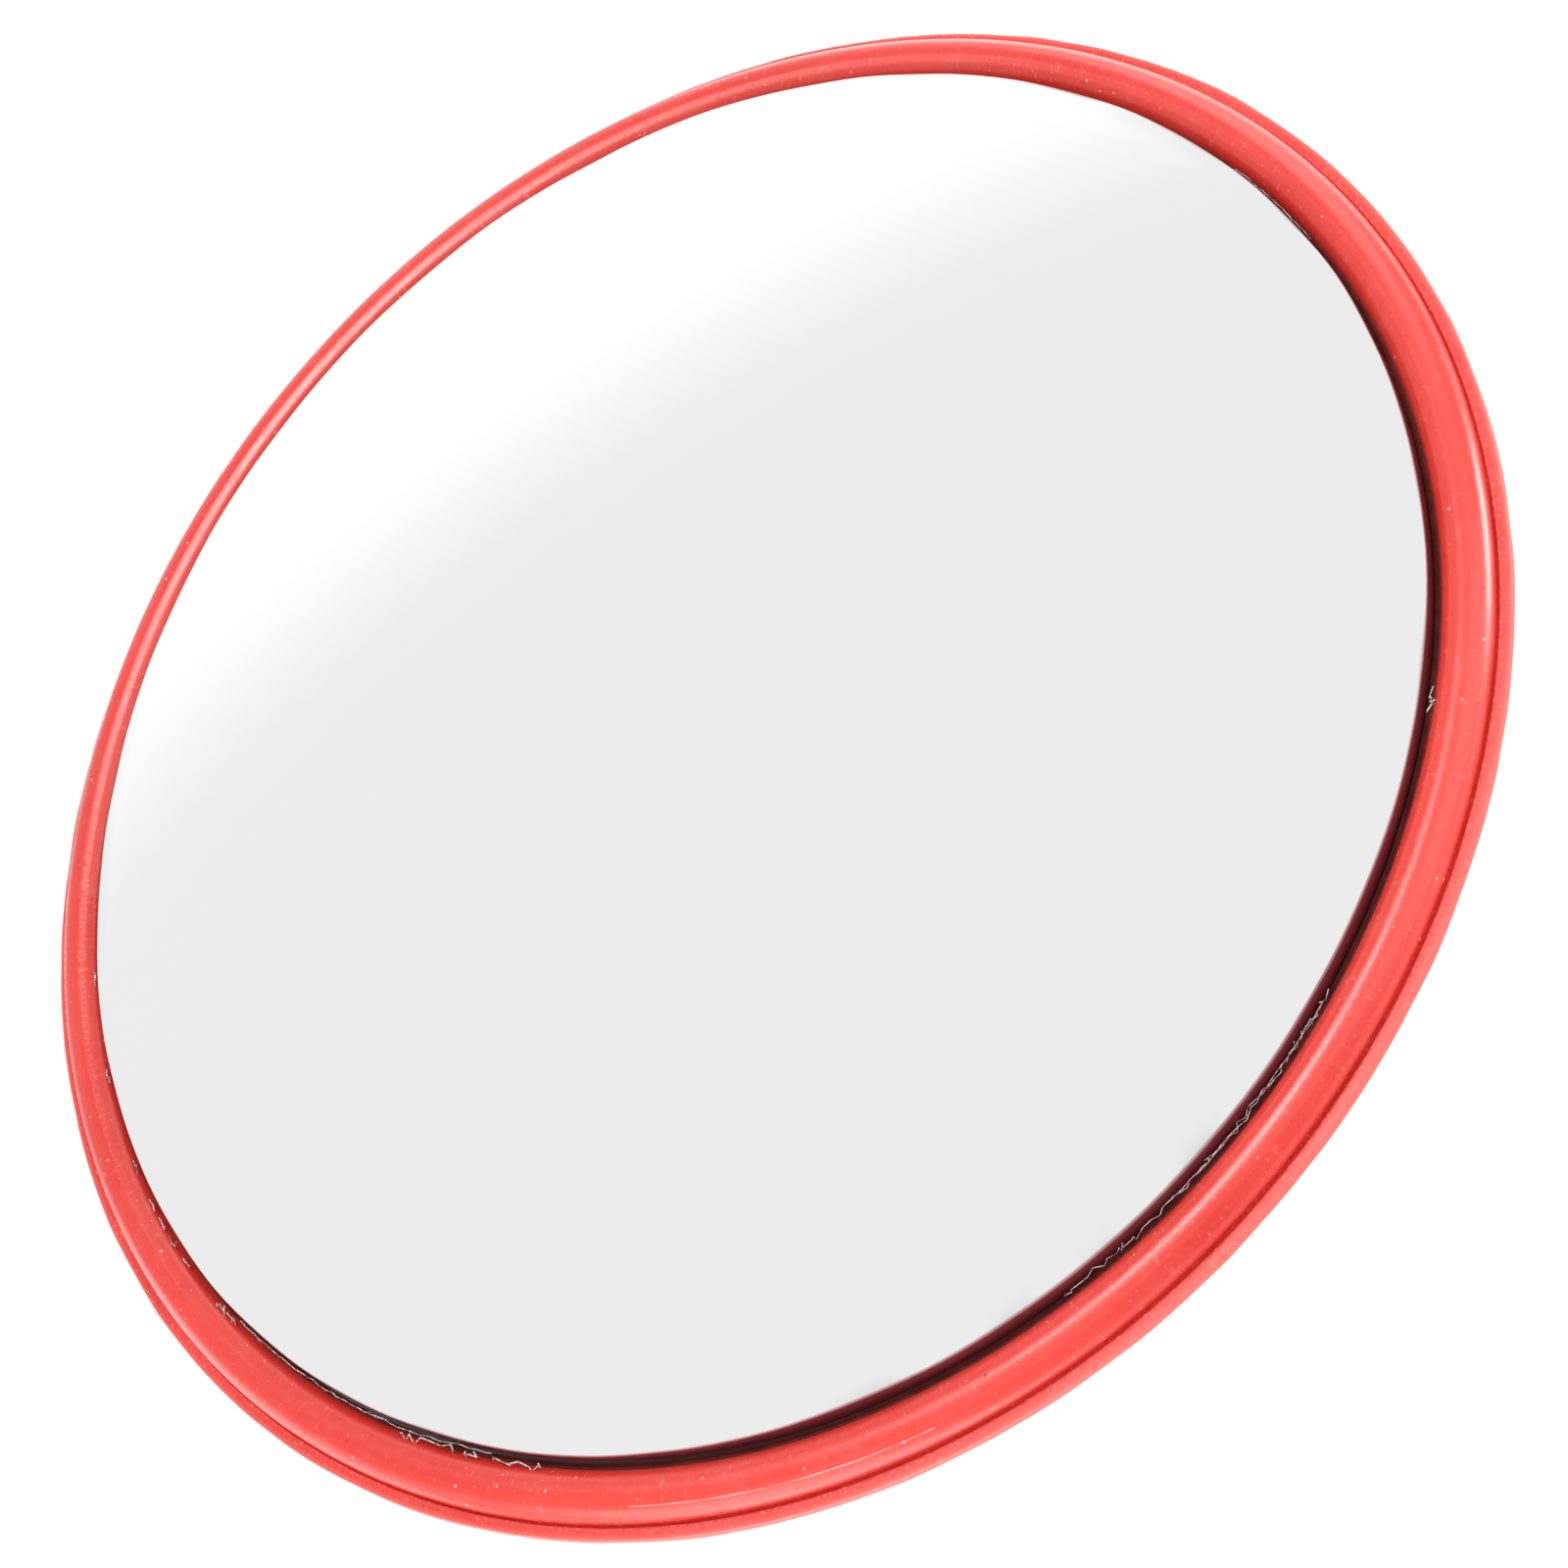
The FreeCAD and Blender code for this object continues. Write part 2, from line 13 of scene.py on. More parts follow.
import bpy
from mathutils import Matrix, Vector


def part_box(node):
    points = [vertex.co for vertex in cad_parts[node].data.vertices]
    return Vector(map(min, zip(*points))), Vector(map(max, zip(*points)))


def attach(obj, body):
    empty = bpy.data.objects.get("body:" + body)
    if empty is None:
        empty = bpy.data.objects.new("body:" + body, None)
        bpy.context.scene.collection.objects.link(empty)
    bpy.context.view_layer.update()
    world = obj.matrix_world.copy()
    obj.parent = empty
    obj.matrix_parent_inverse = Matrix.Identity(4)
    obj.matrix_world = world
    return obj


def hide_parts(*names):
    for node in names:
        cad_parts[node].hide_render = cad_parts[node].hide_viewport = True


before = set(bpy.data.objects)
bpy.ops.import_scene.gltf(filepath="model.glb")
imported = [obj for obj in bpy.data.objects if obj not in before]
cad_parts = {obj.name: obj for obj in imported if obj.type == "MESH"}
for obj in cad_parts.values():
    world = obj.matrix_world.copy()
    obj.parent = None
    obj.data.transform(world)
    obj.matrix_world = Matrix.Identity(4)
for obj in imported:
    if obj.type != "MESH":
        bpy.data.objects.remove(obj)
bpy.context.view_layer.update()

# %% [markdown]
# ## Places
#
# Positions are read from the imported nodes, so the looks can't drift away from the design.  The
# mirror faces -Y.  Its flange plane is where the red edging stands on the shell.  The tilt bolt
# runs along X, the swivel bolt along Z, and the pole along Z through the origin.

# %% Places and directions from the frame
MM = 0.001
X_AXIS, Y_AXIS, Z_AXIS = Vector((1, 0, 0)), Vector((0, 1, 0)), Vector((0, 0, 1))


def middle_of(node):
    """The middle of a CAD node's box."""
    low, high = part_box(node)
    return (low + high) / 2


head_centre = Vector((0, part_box("edge_ring")[1].y, 0))
tilt_centre = middle_of("tilt_sleeve")
print("flange plane at y =", round(head_centre.y * 1000, 2), "mm")
print("tilt bolt at y =", round(tilt_centre.y * 1000, 2), "mm")
print("swivel bolt at y =", round(middle_of("swivel_nut").y * 1000, 2), "mm")

# %% [markdown]
# ## The camera
#
# The camera stands low and to the right, three mirror diameters away, and looks up at the face.
# The head fills nearly the whole frame, so a long lens is used.  It aims a few millimetres
# beside the centre of the flange, because near parts look larger than far ones.

# %% The camera
CAMERA_AZIMUTH = math.radians(28.5)
CAMERA_ELEVATION = math.radians(-27.8)
CAMERA_DISTANCE = 0.96
AIM_RIGHT = 9.5 * MM
AIM_UP = -7.95 * MM
SENSOR_WIDTH = 36.0
LENS_LENGTH = 113.6

away = Vector((math.sin(CAMERA_AZIMUTH) * math.cos(CAMERA_ELEVATION),
               -math.cos(CAMERA_AZIMUTH) * math.cos(CAMERA_ELEVATION),
               math.sin(CAMERA_ELEVATION)))
to_the_right = Z_AXIS.cross(away).normalized()
upward = away.cross(to_the_right)
bpy.ops.object.camera_add()
camera = bpy.context.object
camera.name = "camera"
camera.location = head_centre + away * CAMERA_DISTANCE + to_the_right * AIM_RIGHT + upward * AIM_UP
camera.rotation_euler = away.to_track_quat("Z", "Y").to_euler()
camera.data.sensor_width = SENSOR_WIDTH
camera.data.lens = LENS_LENGTH
camera.data.clip_start = 0.01
bpy.context.scene.camera = camera
print("camera at", [round(part, 3) for part in camera.location])

# %% [markdown]
# ## Small helpers for finishes
#
# Colours are written as sRGB hex values, the way paint and plastic charts give them, and one
# function turns them into the linear values that shaders use.  One function adds a node with its
# settings, values and links, so each material below reads as a short list of its layers.  Where a
# link is given as a node, its first output is meant.

# %% Colours, nodes and a first material
def linear(hex_colour, alpha=1.0):
    """An sRGB hex colour as a linear RGBA value."""
    parts = [int(hex_colour[i:i + 2], 16) / 255 for i in (1, 3, 5)]
    straight = [p / 12.92 if p <= 0.04045 else ((p + 0.055) / 1.055) ** 2.4 for p in parts]
    return (*straight, alpha)


def feed(node, sources):
    """Links a socket or a node's first output to each named input of a node."""
    for name, source in sources.items():
        output = source.outputs[0] if isinstance(source, bpy.types.Node) else source
        node.id_data.links.new(output, node.inputs[name])


def add(tree, kind, values=None, links=None, stops=(), **settings):
    """A new node with its settings, socket values, incoming links and hex colour stops."""
    made = tree.nodes.new("ShaderNode" + kind)
    for name, value in settings.items():
        setattr(made, name, value)
    for socket, value in (values or {}).items():
        made.inputs[socket].default_value = value
    feed(made, links or {})
    while len(stops) > len(made.color_ramp.elements if stops else stops):
        made.color_ramp.elements.new(0.5)
    for number, (position, colour) in enumerate(stops):
        made.color_ramp.elements[number].position = position
        made.color_ramp.elements[number].color = linear(colour)
    return made


def new_material(name, **values):
    """A material with its tree, its Principled shader and the object coordinates."""
    material = bpy.data.materials.new(name)
    material.use_nodes = True
    tree = material.node_tree
    shader = tree.nodes["Principled BSDF"]
    for socket, value in values.items():
        shader.inputs[socket.replace("_", " ")].default_value = value
    return material, tree, shader, add(tree, "TexCoord").outputs["Object"]


def tinted(tree, layer, tints):
    """Lays hex colours over a layer, each by its own share."""
    for share, colour in tints:
        layer = add(tree, "MixRGB", {"Color2": linear(colour)}, {"Fac": share, "Color1": layer})
    return layer


def plain_finish(name, scale, detail, stops, bump=None, gloss=None, **values):
    """A finish with one fine noise that shades it, and may rule its relief and its gloss.

    bump is (strength, distance).  gloss is the noise's low and high value and the roughness at each.
    """
    material, tree, shader, place = new_material(name, **values)
    pattern = add(tree, "TexNoise", {"Scale": scale, "Detail": detail}, {"Vector": place})
    feed(shader, {"Base Color": add(tree, "ValToRGB", links={"Fac": pattern}, stops=stops)})
    if bump:
        relief = add(tree, "Bump", {"Strength": bump[0], "Distance": bump[1]}, {"Height": pattern})
        feed(shader, {"Normal": relief})
    if gloss:
        limits = dict(zip(("From Min", "From Max", "To Min", "To Max"), gloss))
        feed(shader, {"Roughness": add(tree, "MapRange", limits, {"Value": pattern})})
    return material


# %% [markdown]
# ## The studio
#
# A pale floor lies well below the mirror, and a pale sky wraps round it.  The dome reflects what
# is in front of it, so the sky is an even light grey there.  Overhead and a little to the left it
# brightens softly to white, as under a large diffuser, and everything behind the mirror is white.
# Low on the right it is darker, which keeps the red of the near side deep.  Matt surfaces take
# less from the sky than glossy ones, so that the soft boxes can model their shape.

# %% Sky
world = bpy.data.worlds.new("studio_sky")
bpy.context.scene.world = world
world.use_nodes = True
sky = world.node_tree
direction = add(sky, "TexCoord")
SKY_FRONT = 0.900
# Each zone has its direction, the cosines where it starts and is full, and its brightness.
low_on_the_right = ((0.6, -0.35, -0.7), 0.45, 1.0, 0.50)
overhead = ((-0.377, 0.212, 0.902), 0.61, 0.872, 1.10)
behind = ((0.0, 1.0, 0.0), 0.0, 0.22, 1.10)
zones = (low_on_the_right, overhead, behind)
layer = None
for towards, starts, full, brightness in zones:
    facing = add(sky, "VectorMath", {1: Vector(towards).normalized()},
                 {0: direction.outputs["Generated"]}, operation="DOT_PRODUCT")
    inside = add(sky, "MapRange", {"From Min": starts, "From Max": full},
                 {"Value": facing.outputs["Value"]}, interpolation_type="SMOOTHERSTEP")
    greys = {"Color1": (SKY_FRONT,) * 3 + (1,), "Color2": (brightness,) * 3 + (1,)}
    layer = add(sky, "MixRGB", greys, {"Fac": inside, **({"Color1": layer} if layer else {})})
ray = add(sky, "LightPath")
SKY_ON_MATT = 0.26
strength = add(sky, "MapRange", {"To Min": 1.0, "To Max": SKY_ON_MATT},
               {"Value": ray.outputs["Is Diffuse Ray"]})
feed(sky.nodes["Background"], {"Color": layer, "Strength": strength})
print("sky zones:", len(zones))

# %% Floor
FLOOR_Z = -0.95
FLOOR_RADIUS = 9.0
bpy.ops.object.select_all(action="DESELECT")
bpy.ops.mesh.primitive_circle_add(vertices=96, radius=FLOOR_RADIUS, fill_type="NGON",
                                  location=(0, 0, FLOOR_Z))
floor = bpy.context.object
floor.name = "floor"
floor.visible_glossy = False
paper, tree, shader, place = new_material("seamless_studio_paper", Base_Color=linear("#F2F2F1"),
                                          Roughness=0.9, Emission_Color=(1, 1, 1, 1))
fibres = add(tree, "TexNoise", {"Scale": 400.0, "Detail": 4.0}, {"Vector": place})
grain = add(tree, "Bump", {"Strength": 0.05, "Distance": 0.0005}, {"Height": fibres})
# The paper has its own even light further off, where the soft boxes don't reach it.
far_off = add(tree, "VectorMath", links={0: place}, operation="LENGTH")
even = add(tree, "MapRange", {"From Min": 1.0, "From Max": 4.5, "To Min": 0.10, "To Max": 0.50},
           {"Value": far_off.outputs["Value"]}, interpolation_type="SMOOTHSTEP")
feed(shader, {"Normal": grain, "Emission Strength": even})
floor.data.materials.append(paper)
bpy.context.scene.view_settings.view_transform = "Standard"
print("floor lies", -1000 * FLOOR_Z, "mm below the clamp")

# %% [markdown]
# ## Soft boxes
#
# Each soft box is named for the highlight that it makes, and is placed by its direction from the
# head.  The dome is a perfect mirror and would show every one of them, so the boxes are linked to
# all pieces but the dome once that is made.  The box under the head also leaves out the floor.

# %% Soft boxes
def soft_box(name, towards, distance, width, height, brightness):
    """A rectangular soft light of even brightness, at a direction and distance from the head."""
    place = head_centre + Vector(towards).normalized() * distance
    bpy.ops.object.light_add(type="AREA", location=place)
    lamp = bpy.context.object
    lamp.name = name
    lamp.data.shape = "RECTANGLE"
    lamp.data.size = width
    lamp.data.size_y = height
    lamp.data.energy = brightness * math.pi * width * height
    lamp.rotation_euler = (place - head_centre).to_track_quat("Z", "Y").to_euler()
    lamp.visible_camera = False
    return lamp


# Name, direction, distance, width and height in metres, and brightness.
soft_boxes = [soft_box(*row) for row in (
    ("crown_box", (-0.155, -0.955, 0.215), 1.6, 0.50, 0.50, 16.5),
    ("right_front_box", (0.80, -0.58, 0.10), 1.0, 0.9, 0.9, 1.7),
    ("right_box", (0.87, 0.12, 0.46), 1.5, 0.60, 0.42, 17.0),
    ("under_box", (-0.20, 0.10, -0.95), 0.58, 0.75, 0.36, 3.0),
    ("left_box", (-0.93, 0.22, -0.22), 1.3, 0.9, 0.9, 1.5),
    ("top_box", (0.05, 0.30, 0.95), 1.5, 1.4, 1.1, 1.5),
    ("front_top_box", (0.20, -0.45, 0.85), 1.5, 0.9, 0.9, 1.6),
    ("back_box", (-0.55, 0.70, 0.50), 1.6, 0.9, 0.9, 2.6),
)]
print("soft boxes:", len(soft_boxes))

# %% [markdown]
# ## Making shapes the way a hand would
#
# Most pieces here are either turned about an axis or cut from an outline.  A turned piece starts
# as one point that is extruded along its section, and the section is spun round.  A flat piece
# starts the same way, is filled, and is extruded to its thickness.  Everything is deselected
# first, because each operator works on all that is selected.

# %% Outline, turn and extrude
def pick_nothing():
    """Leaves edit mode and deselects every object."""
    if bpy.context.object and bpy.context.object.mode != "OBJECT":
        bpy.ops.object.mode_set(mode="OBJECT")
    bpy.ops.object.select_all(action="DESELECT")


def pick(piece):
    """Makes piece the only selected object."""
    pick_nothing()
    piece.select_set(True)
    bpy.context.view_layer.objects.active = piece


def open_all(piece):
    """Picks a piece and enters edit mode with all of it selected."""
    pick(piece)
    bpy.ops.object.mode_set(mode="EDIT")
    bpy.ops.mesh.select_all(action="SELECT")


def pick_parts(piece, kind, wanted):
    """Enters edit mode with the vertices, edges or faces selected for which wanted is true."""
    pick(piece)
    bpy.ops.object.mode_set(mode="EDIT")
    bpy.ops.mesh.select_mode(type={"vertices": "VERT", "edges": "EDGE", "polygons": "FACE"}[kind])
    bpy.ops.mesh.select_all(action="DESELECT")
    bpy.ops.object.mode_set(mode="OBJECT")
    for part in getattr(piece.data, kind):
        part.select = bool(wanted(part))
    bpy.ops.object.mode_set(mode="EDIT")


def traced(name, points, close=False):
    """A new mesh that is one chain of edges through the points, still in edit mode."""
    pick_nothing()
    bpy.ops.mesh.primitive_plane_add(size=MM, location=points[0])
    piece = bpy.context.object
    piece.name = name
    piece.data.name = name
    bpy.ops.object.transform_apply(location=True)
    bpy.ops.object.mode_set(mode="EDIT")
    bpy.ops.mesh.select_mode(type="VERT")
    bpy.ops.mesh.select_all(action="SELECT")
    bpy.ops.mesh.merge(type="CENTER")
    around = points[1:] + points[:1] if close else points[1:]
    last = points[0]
    for point in around:
        bpy.ops.mesh.extrude_vertices_move(TRANSFORM_OT_translate={"value": point - last})
        last = point
    bpy.ops.mesh.select_all(action="SELECT")
    bpy.ops.mesh.remove_doubles(threshold=1e-6)
    return piece


def finished(piece, smooth_angle=32):
    """Merges doubles, turns the faces outwards and smooths all but the sharp edges."""
    open_all(piece)
    bpy.ops.mesh.remove_doubles(threshold=2e-6)
    bpy.ops.mesh.normals_make_consistent(inside=False)
    bpy.ops.object.mode_set(mode="OBJECT")
    bpy.ops.object.shade_smooth_by_angle(angle=math.radians(smooth_angle))
    return piece


def turned(name, section, centre, axis, steps=64, close=True):
    """A section of (radius, distance along the axis) points in mm, spun about the axis."""
    across = Vector((axis.z, axis.x, axis.y))
    points = [centre + across * r * MM + axis * along * MM for r, along in section]
    piece = traced(name, points, close)
    bpy.ops.mesh.select_all(action="SELECT")
    bpy.ops.mesh.spin(steps=steps, angle=2 * math.pi, center=centre, axis=axis)
    return finished(piece)


def flat(points, origin=Vector(), u=X_AXIS, v=Y_AXIS):
    """Two-dimensional points in mm as places on a plane."""
    return [origin + u * a * MM + v * b * MM for a, b in points]


def extruded(name, outline, push):
    """An outline of places, filled and pushed out along the vector push."""
    piece = traced(name, outline, close=True)
    bpy.ops.mesh.select_all(action="SELECT")
    bpy.ops.mesh.edge_face_add()
    bpy.ops.mesh.extrude_region_move(TRANSFORM_OT_translate={"value": push})
    return finished(piece)


# %% Cut, soften, join and place
def apply_modifier(piece, kind, **settings):
    """Adds a modifier, sets it and applies it."""
    pick(piece)
    bpy.ops.object.modifier_add(type=kind)
    modifier = piece.modifiers[-1]
    for name, value in settings.items():
        setattr(modifier, name, value)
    bpy.ops.object.modifier_apply(modifier=modifier.name)
    return piece


def wavering(piece, group, texture, wanted, scale, depth, strength, middle):
    """Pushes the wanted vertices in and out with a clouds texture.  Sizes are in metres."""
    chosen = [v.index for v in piece.data.vertices if wanted(v.co)]
    piece.vertex_groups.new(name=group).add(chosen, 1.0, "REPLACE")
    clouds = bpy.data.textures.new(texture, "CLOUDS")
    clouds.noise_scale = scale
    clouds.noise_depth = depth
    apply_modifier(piece, "DISPLACE", texture=clouds, texture_coords="LOCAL", strength=strength,
                   mid_level=middle, vertex_group=group)


def cut(piece, cutter, operation="DIFFERENCE"):
    """Cuts, unites or intersects a piece with a helper shape, which is then deleted."""
    apply_modifier(piece, "BOOLEAN", object=cutter, operation=operation, solver="EXACT")
    pick(cutter)
    bpy.ops.object.delete()
    return piece


def sliced(piece, place, outwards):
    """Slices off what lies outwards of a plane and closes the cut, still in edit mode."""
    open_all(piece)
    bpy.ops.mesh.bisect(plane_co=place, plane_no=outwards, use_fill=True, clear_outer=True)


def softened(piece, width, segments=2):
    """Rounds every edge that is sharper than 40 degrees by width in mm."""
    apply_modifier(piece, "BEVEL", width=width * MM, segments=segments, limit_method="ANGLE",
                   angle_limit=math.radians(40), miter_outer="MITER_ARC")
    return finished(piece)


def joined(name, pieces):
    """Several objects as one."""
    pick_nothing()
    for piece in pieces:
        piece.select_set(True)
    bpy.context.view_layer.objects.active = pieces[0]
    bpy.ops.object.join()
    pieces[0].name = name
    pieces[0].data.name = name
    return pieces[0]


def placed(piece, start, towards):
    """Puts a piece that was made at the origin along +Z where it goes."""
    return apply_place(piece, start, towards.to_track_quat("Z", "Y").to_euler())


def copied(piece, name, offset):
    """A copy with its own mesh, moved by offset."""
    pick(piece)
    bpy.ops.object.duplicate()
    copy = bpy.context.object
    copy.name = name
    bpy.ops.transform.translate(value=offset)
    bpy.ops.object.transform_apply(location=True)
    return copy


# %% Arcs and dressing
def round_point(centre_r, centre_along, radius_r, radius_along, angle):
    """A point of an ellipse.  0 degrees points along the first axis, 90 along the second."""
    turn = math.radians(angle)
    return centre_r + radius_r * math.cos(turn), centre_along + radius_along * math.sin(turn)


def round_points(centre_a, centre_b, radius, start, end, count):
    """Points of an arc."""
    return [round_point(centre_a, centre_b, radius, radius, start + (end - start) * step / count)
            for step in range(count + 1)]


def arc_through(a, b, c, count):
    """Points of the arc from a through b to c."""
    turn = 2 * (a[0] * (b[1] - c[1]) + b[0] * (c[1] - a[1]) + c[0] * (a[1] - b[1]))
    squares = [p[0] ** 2 + p[1] ** 2 for p in (a, b, c)]
    x = (squares[0] * (b[1] - c[1]) + squares[1] * (c[1] - a[1]) + squares[2] * (a[1] - b[1])) / turn
    y = (squares[0] * (c[0] - b[0]) + squares[1] * (a[0] - c[0]) + squares[2] * (b[0] - a[0])) / turn
    first, last = (math.degrees(math.atan2(p[1] - y, p[0] - x)) for p in (a, c))
    return round_points(x, y, math.hypot(a[0] - x, a[1] - y), first, last, count)


def triangles(piece):
    """How many triangles a mesh has."""
    return sum(len(face.vertices) - 2 for face in piece.data.polygons)


def apply_place(piece, start, turn):
    """Moves and turns a piece that was made at the origin, and applies both."""
    pick(piece)
    piece.location = start
    piece.rotation_euler = turn
    bpy.ops.object.transform_apply(location=True, rotation=True)
    return piece


def dress(piece, body, material, slot, *nodes):
    """Gives a finished piece its material and its body, and hides the CAD nodes that it stands for."""
    piece.data.materials.clear()
    piece.data.materials.append(material)
    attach(piece, body)
    if nodes:
        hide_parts(*nodes)
    print(piece.name, "triangles:", triangles(piece))
    return piece


# %% [markdown]
# ## The mirror lens
#
# The real lens is a sheet of clear polycarbonate, blown into a shallow dome and silvered on its
# back.  Its rim drops steeply to a narrow flat flange that is glued under the edging.  Turning
# one closed section makes it.  The dome's arc is a formula, so that its highlights run smoothly.
# It is glued in by hand, so it sits half a millimetre above the centre, and the gap beside it is
# wider at its lower side.  Its rim wavers by a few tenths of a millimetre, as blown sheet does.

# %% Lens shape
LENS_SPHERE = 400.0
LENS_EDGE = 146.2
LENS_EDGE_HEIGHT = 6.3
LENS_ROUNDING = 0.6
LENS_SHEET = 2.0
LENS_FLANGE = 150.8
DOME_STEPS = 40
LENS_SHIFT = Vector((-0.18, 0, 0.57)) * MM

FORWARD = -Y_AXIS


def dome_height(radius, sphere):
    """Height above the flange of a dome whose edge rounding starts at the lens's edge."""
    rim = LENS_EDGE - LENS_ROUNDING
    centre = LENS_EDGE_HEIGHT - math.sqrt(LENS_SPHERE ** 2 - rim ** 2)
    return centre + math.sqrt(sphere ** 2 - radius ** 2)


def dome_arc(rim, sphere):
    """Points from the axis to the rim."""
    return [(rim * step / DOME_STEPS, dome_height(rim * step / DOME_STEPS, sphere))
            for step in range(DOME_STEPS + 1)]


rim = LENS_EDGE - LENS_ROUNDING
wall_inside = LENS_EDGE - LENS_SHEET
corner = [round_point(rim, LENS_EDGE_HEIGHT - LENS_ROUNDING, LENS_ROUNDING, LENS_ROUNDING, a)
          for a in (66, 45, 22, 0)]
wall = [(LENS_EDGE, height) for height in (5.2, 4.7, 4.2, 3.4, 2.6)]
foot = [(LENS_EDGE, LENS_SHEET), (LENS_FLANGE, LENS_SHEET), (LENS_FLANGE, 0), (wall_inside, 0)]
lens_section = dome_arc(rim, LENS_SPHERE) + corner + wall + foot
lens_section += list(reversed(dome_arc(wall_inside, LENS_SPHERE - LENS_SHEET)))
lens = turned("mirror_lens_dome", lens_section, head_centre + LENS_SHIFT, FORWARD, steps=256, close=False)
RIM_FOOT = 2.6
RIM_WIDTH = 1.1
foot_y = head_centre.y - RIM_FOOT * MM
wavering(lens, "blown_rim", "blown_unevenly",
         lambda co: co.y < foot_y and math.hypot(co.x, co.z) > (LENS_EDGE - RIM_WIDTH) * MM,
         0.030, 1, 0.0007, 0.5)
print("lens stands", round(1000 * (head_centre.y - min(v.co.y for v in lens.data.vertices)), 1), "mm proud")

# %% [markdown]
# ## Silvered polycarbonate
#
# The silver under clear polycarbonate reflects almost everything with a faint warm loss, so the
# shader is a metal with a clear coat.  The steep rim was stretched thin when the dome was blown.
# There the silver has gone.  A ramp on the distance from the flange paints the wall's colours: a
# painted reflection of the red edging beside it, dark red, that turns to painted shade towards the
# flange.  A second ramp takes the metal away.  The grain is the very slight orange peel of blown
# sheet, a few centimetres wide.

# %% Lens finish
silver, tree, shader, place = new_material("silvered_polycarbonate", Metallic=1.0, Roughness=0.02,
                                           Coat_Weight=0.4, Coat_Roughness=0.02, Coat_IOR=1.58)
parts = add(tree, "SeparateXYZ", links={"Vector": place})
wall_foot, wall_top = head_centre.y - 0.8 * MM, head_centre.y - (LENS_EDGE_HEIGHT - 0.1) * MM
height = add(tree, "MapRange", {"From Min": wall_foot, "From Max": wall_top}, {"Value": parts.outputs["Y"]})
# Painted reflection of the red edging on the wall, darker towards the flange as painted shade of the gap.
wall_painted_reflection_and_shade = add(tree, "ValToRGB", links={"Fac": height},
            stops=[(0.0, "#5E1B1B"), (0.5, "#6E3238"), (0.88, "#8E4A50"),
                   (0.965, "#D9A9AA"), (1.0, "#F7F7F7")])
silvered = add(tree, "MapRange", {"From Min": 0.94, "From Max": 1.0}, {"Value": height})
peel = add(tree, "TexNoise", {"Scale": 28.0, "Detail": 1.0}, {"Vector": place})
waves = add(tree, "Bump", {"Strength": 0.02, "Distance": 0.001}, {"Height": peel})
feed(shader, {"Metallic": silvered, "Base Color": wall_painted_reflection_and_shade, "Normal": waves})
dress(lens, "mirror_head", silver, "mirror_lens", "mirror_lens")

# %% [markdown]
# ## The red edging
#
# The edging is a soft PVC bead, extruded through a die and bent into a ring.  Its section isn't
# a plain half round: a fine ridge runs just inside the crown, the crown itself is broad and
# nearly flat, and the outer side rounds over and tucks in to meet the shell in a dark groove.

# %% Edging shape
REBATE_RADIUS = 151.8
REBATE_HEIGHT = 2.3
BEAD_MIDDLE = 151.95
BEAD_HALF = 5.1
BEAD_RISE = 4.4
BEAD_WIDEST = 0.95
BEAD_STEPS = 30

bead = []
for step in range(BEAD_STEPS + 1):
    angle = 162 * step / BEAD_STEPS
    shrink = 0.988 if angle > 102 else 1.0
    bead.append(round_point(BEAD_MIDDLE, BEAD_WIDEST, BEAD_HALF * shrink, BEAD_RISE * shrink, angle))
undercut = [(REBATE_RADIUS, 0), (156.3, 0), (156.6, 0.1), (156.9, 0.42)]
ring_section = undercut + bead + [(REBATE_RADIUS, REBATE_HEIGHT)]
ring = turned("edge_ring_bead", ring_section, head_centre, FORWARD, steps=320)

# %% [markdown]
# ## Soft red PVC
#
# Extruded PVC is smooth and glossy but never perfect.  Its colour drifts a little along the
# ring, dust sticks to it as fine pale specks, and handling leaves short light scratches that
# run with the ring.  The die leaves faint lines along its length.

# %% Edging finish
RING_RADIUS = 0.152


def ring_coordinates(tree, place):
    """Distance along the ring, radius and height as one vector, in metres."""
    parts = add(tree, "SeparateXYZ", links={"Vector": place})
    angle = add(tree, "Math", links={0: parts.outputs["Z"], 1: parts.outputs["X"]}, operation="ARCTAN2")
    along = add(tree, "Math", {1: RING_RADIUS}, {0: angle}, operation="MULTIPLY")
    across = add(tree, "CombineXYZ", links={"X": parts.outputs["X"], "Y": parts.outputs["Z"]})
    radius = add(tree, "VectorMath", links={0: across}, operation="LENGTH")
    return add(tree, "CombineXYZ", links={"X": along, "Y": radius.outputs["Value"], "Z": parts.outputs["Y"]})


pvc, tree, shader, place = new_material("extruded_soft_pvc", IOR=1.53, Subsurface_Weight=0.06,
                                        Subsurface_Radius=(1.2 * MM, 0.25 * MM, 0.2 * MM))
along_ring = ring_coordinates(tree, place)
drift = add(tree, "TexNoise", {"Scale": 24.0, "Detail": 4.0}, {"Vector": place})
base = add(tree, "ValToRGB", links={"Fac": drift}, stops=[(0.35, "#D5342A"), (0.65, "#DD3D33")])

# Dust is pale specks, most of them 0.1 to 0.4 mm wide, and the die's pin spots are dark ones.
tints = []
coarse_dust = (520.0, 0.80, 0.17, "#F4ABA0")
fine_dust = (1100.0, 0.72, 0.20, "#EC8C82")
pin_spots = (330.0, 0.945, 0.11, "#7E1B17")
for scale, rare, width, colour in (coarse_dust, fine_dust, pin_spots):
    cells = add(tree, "TexVoronoi", {"Scale": scale}, {"Vector": place})
    chance = add(tree, "TexWhiteNoise", links={"Vector": cells.outputs["Position"]})
    limit = add(tree, "MapRange", {"From Min": rare, "From Max": 1.0, "To Max": width}, {"Value": chance})
    spot = add(tree, "Math", links={0: cells, 1: limit}, operation="LESS_THAN")
    tints.append((spot, colour))

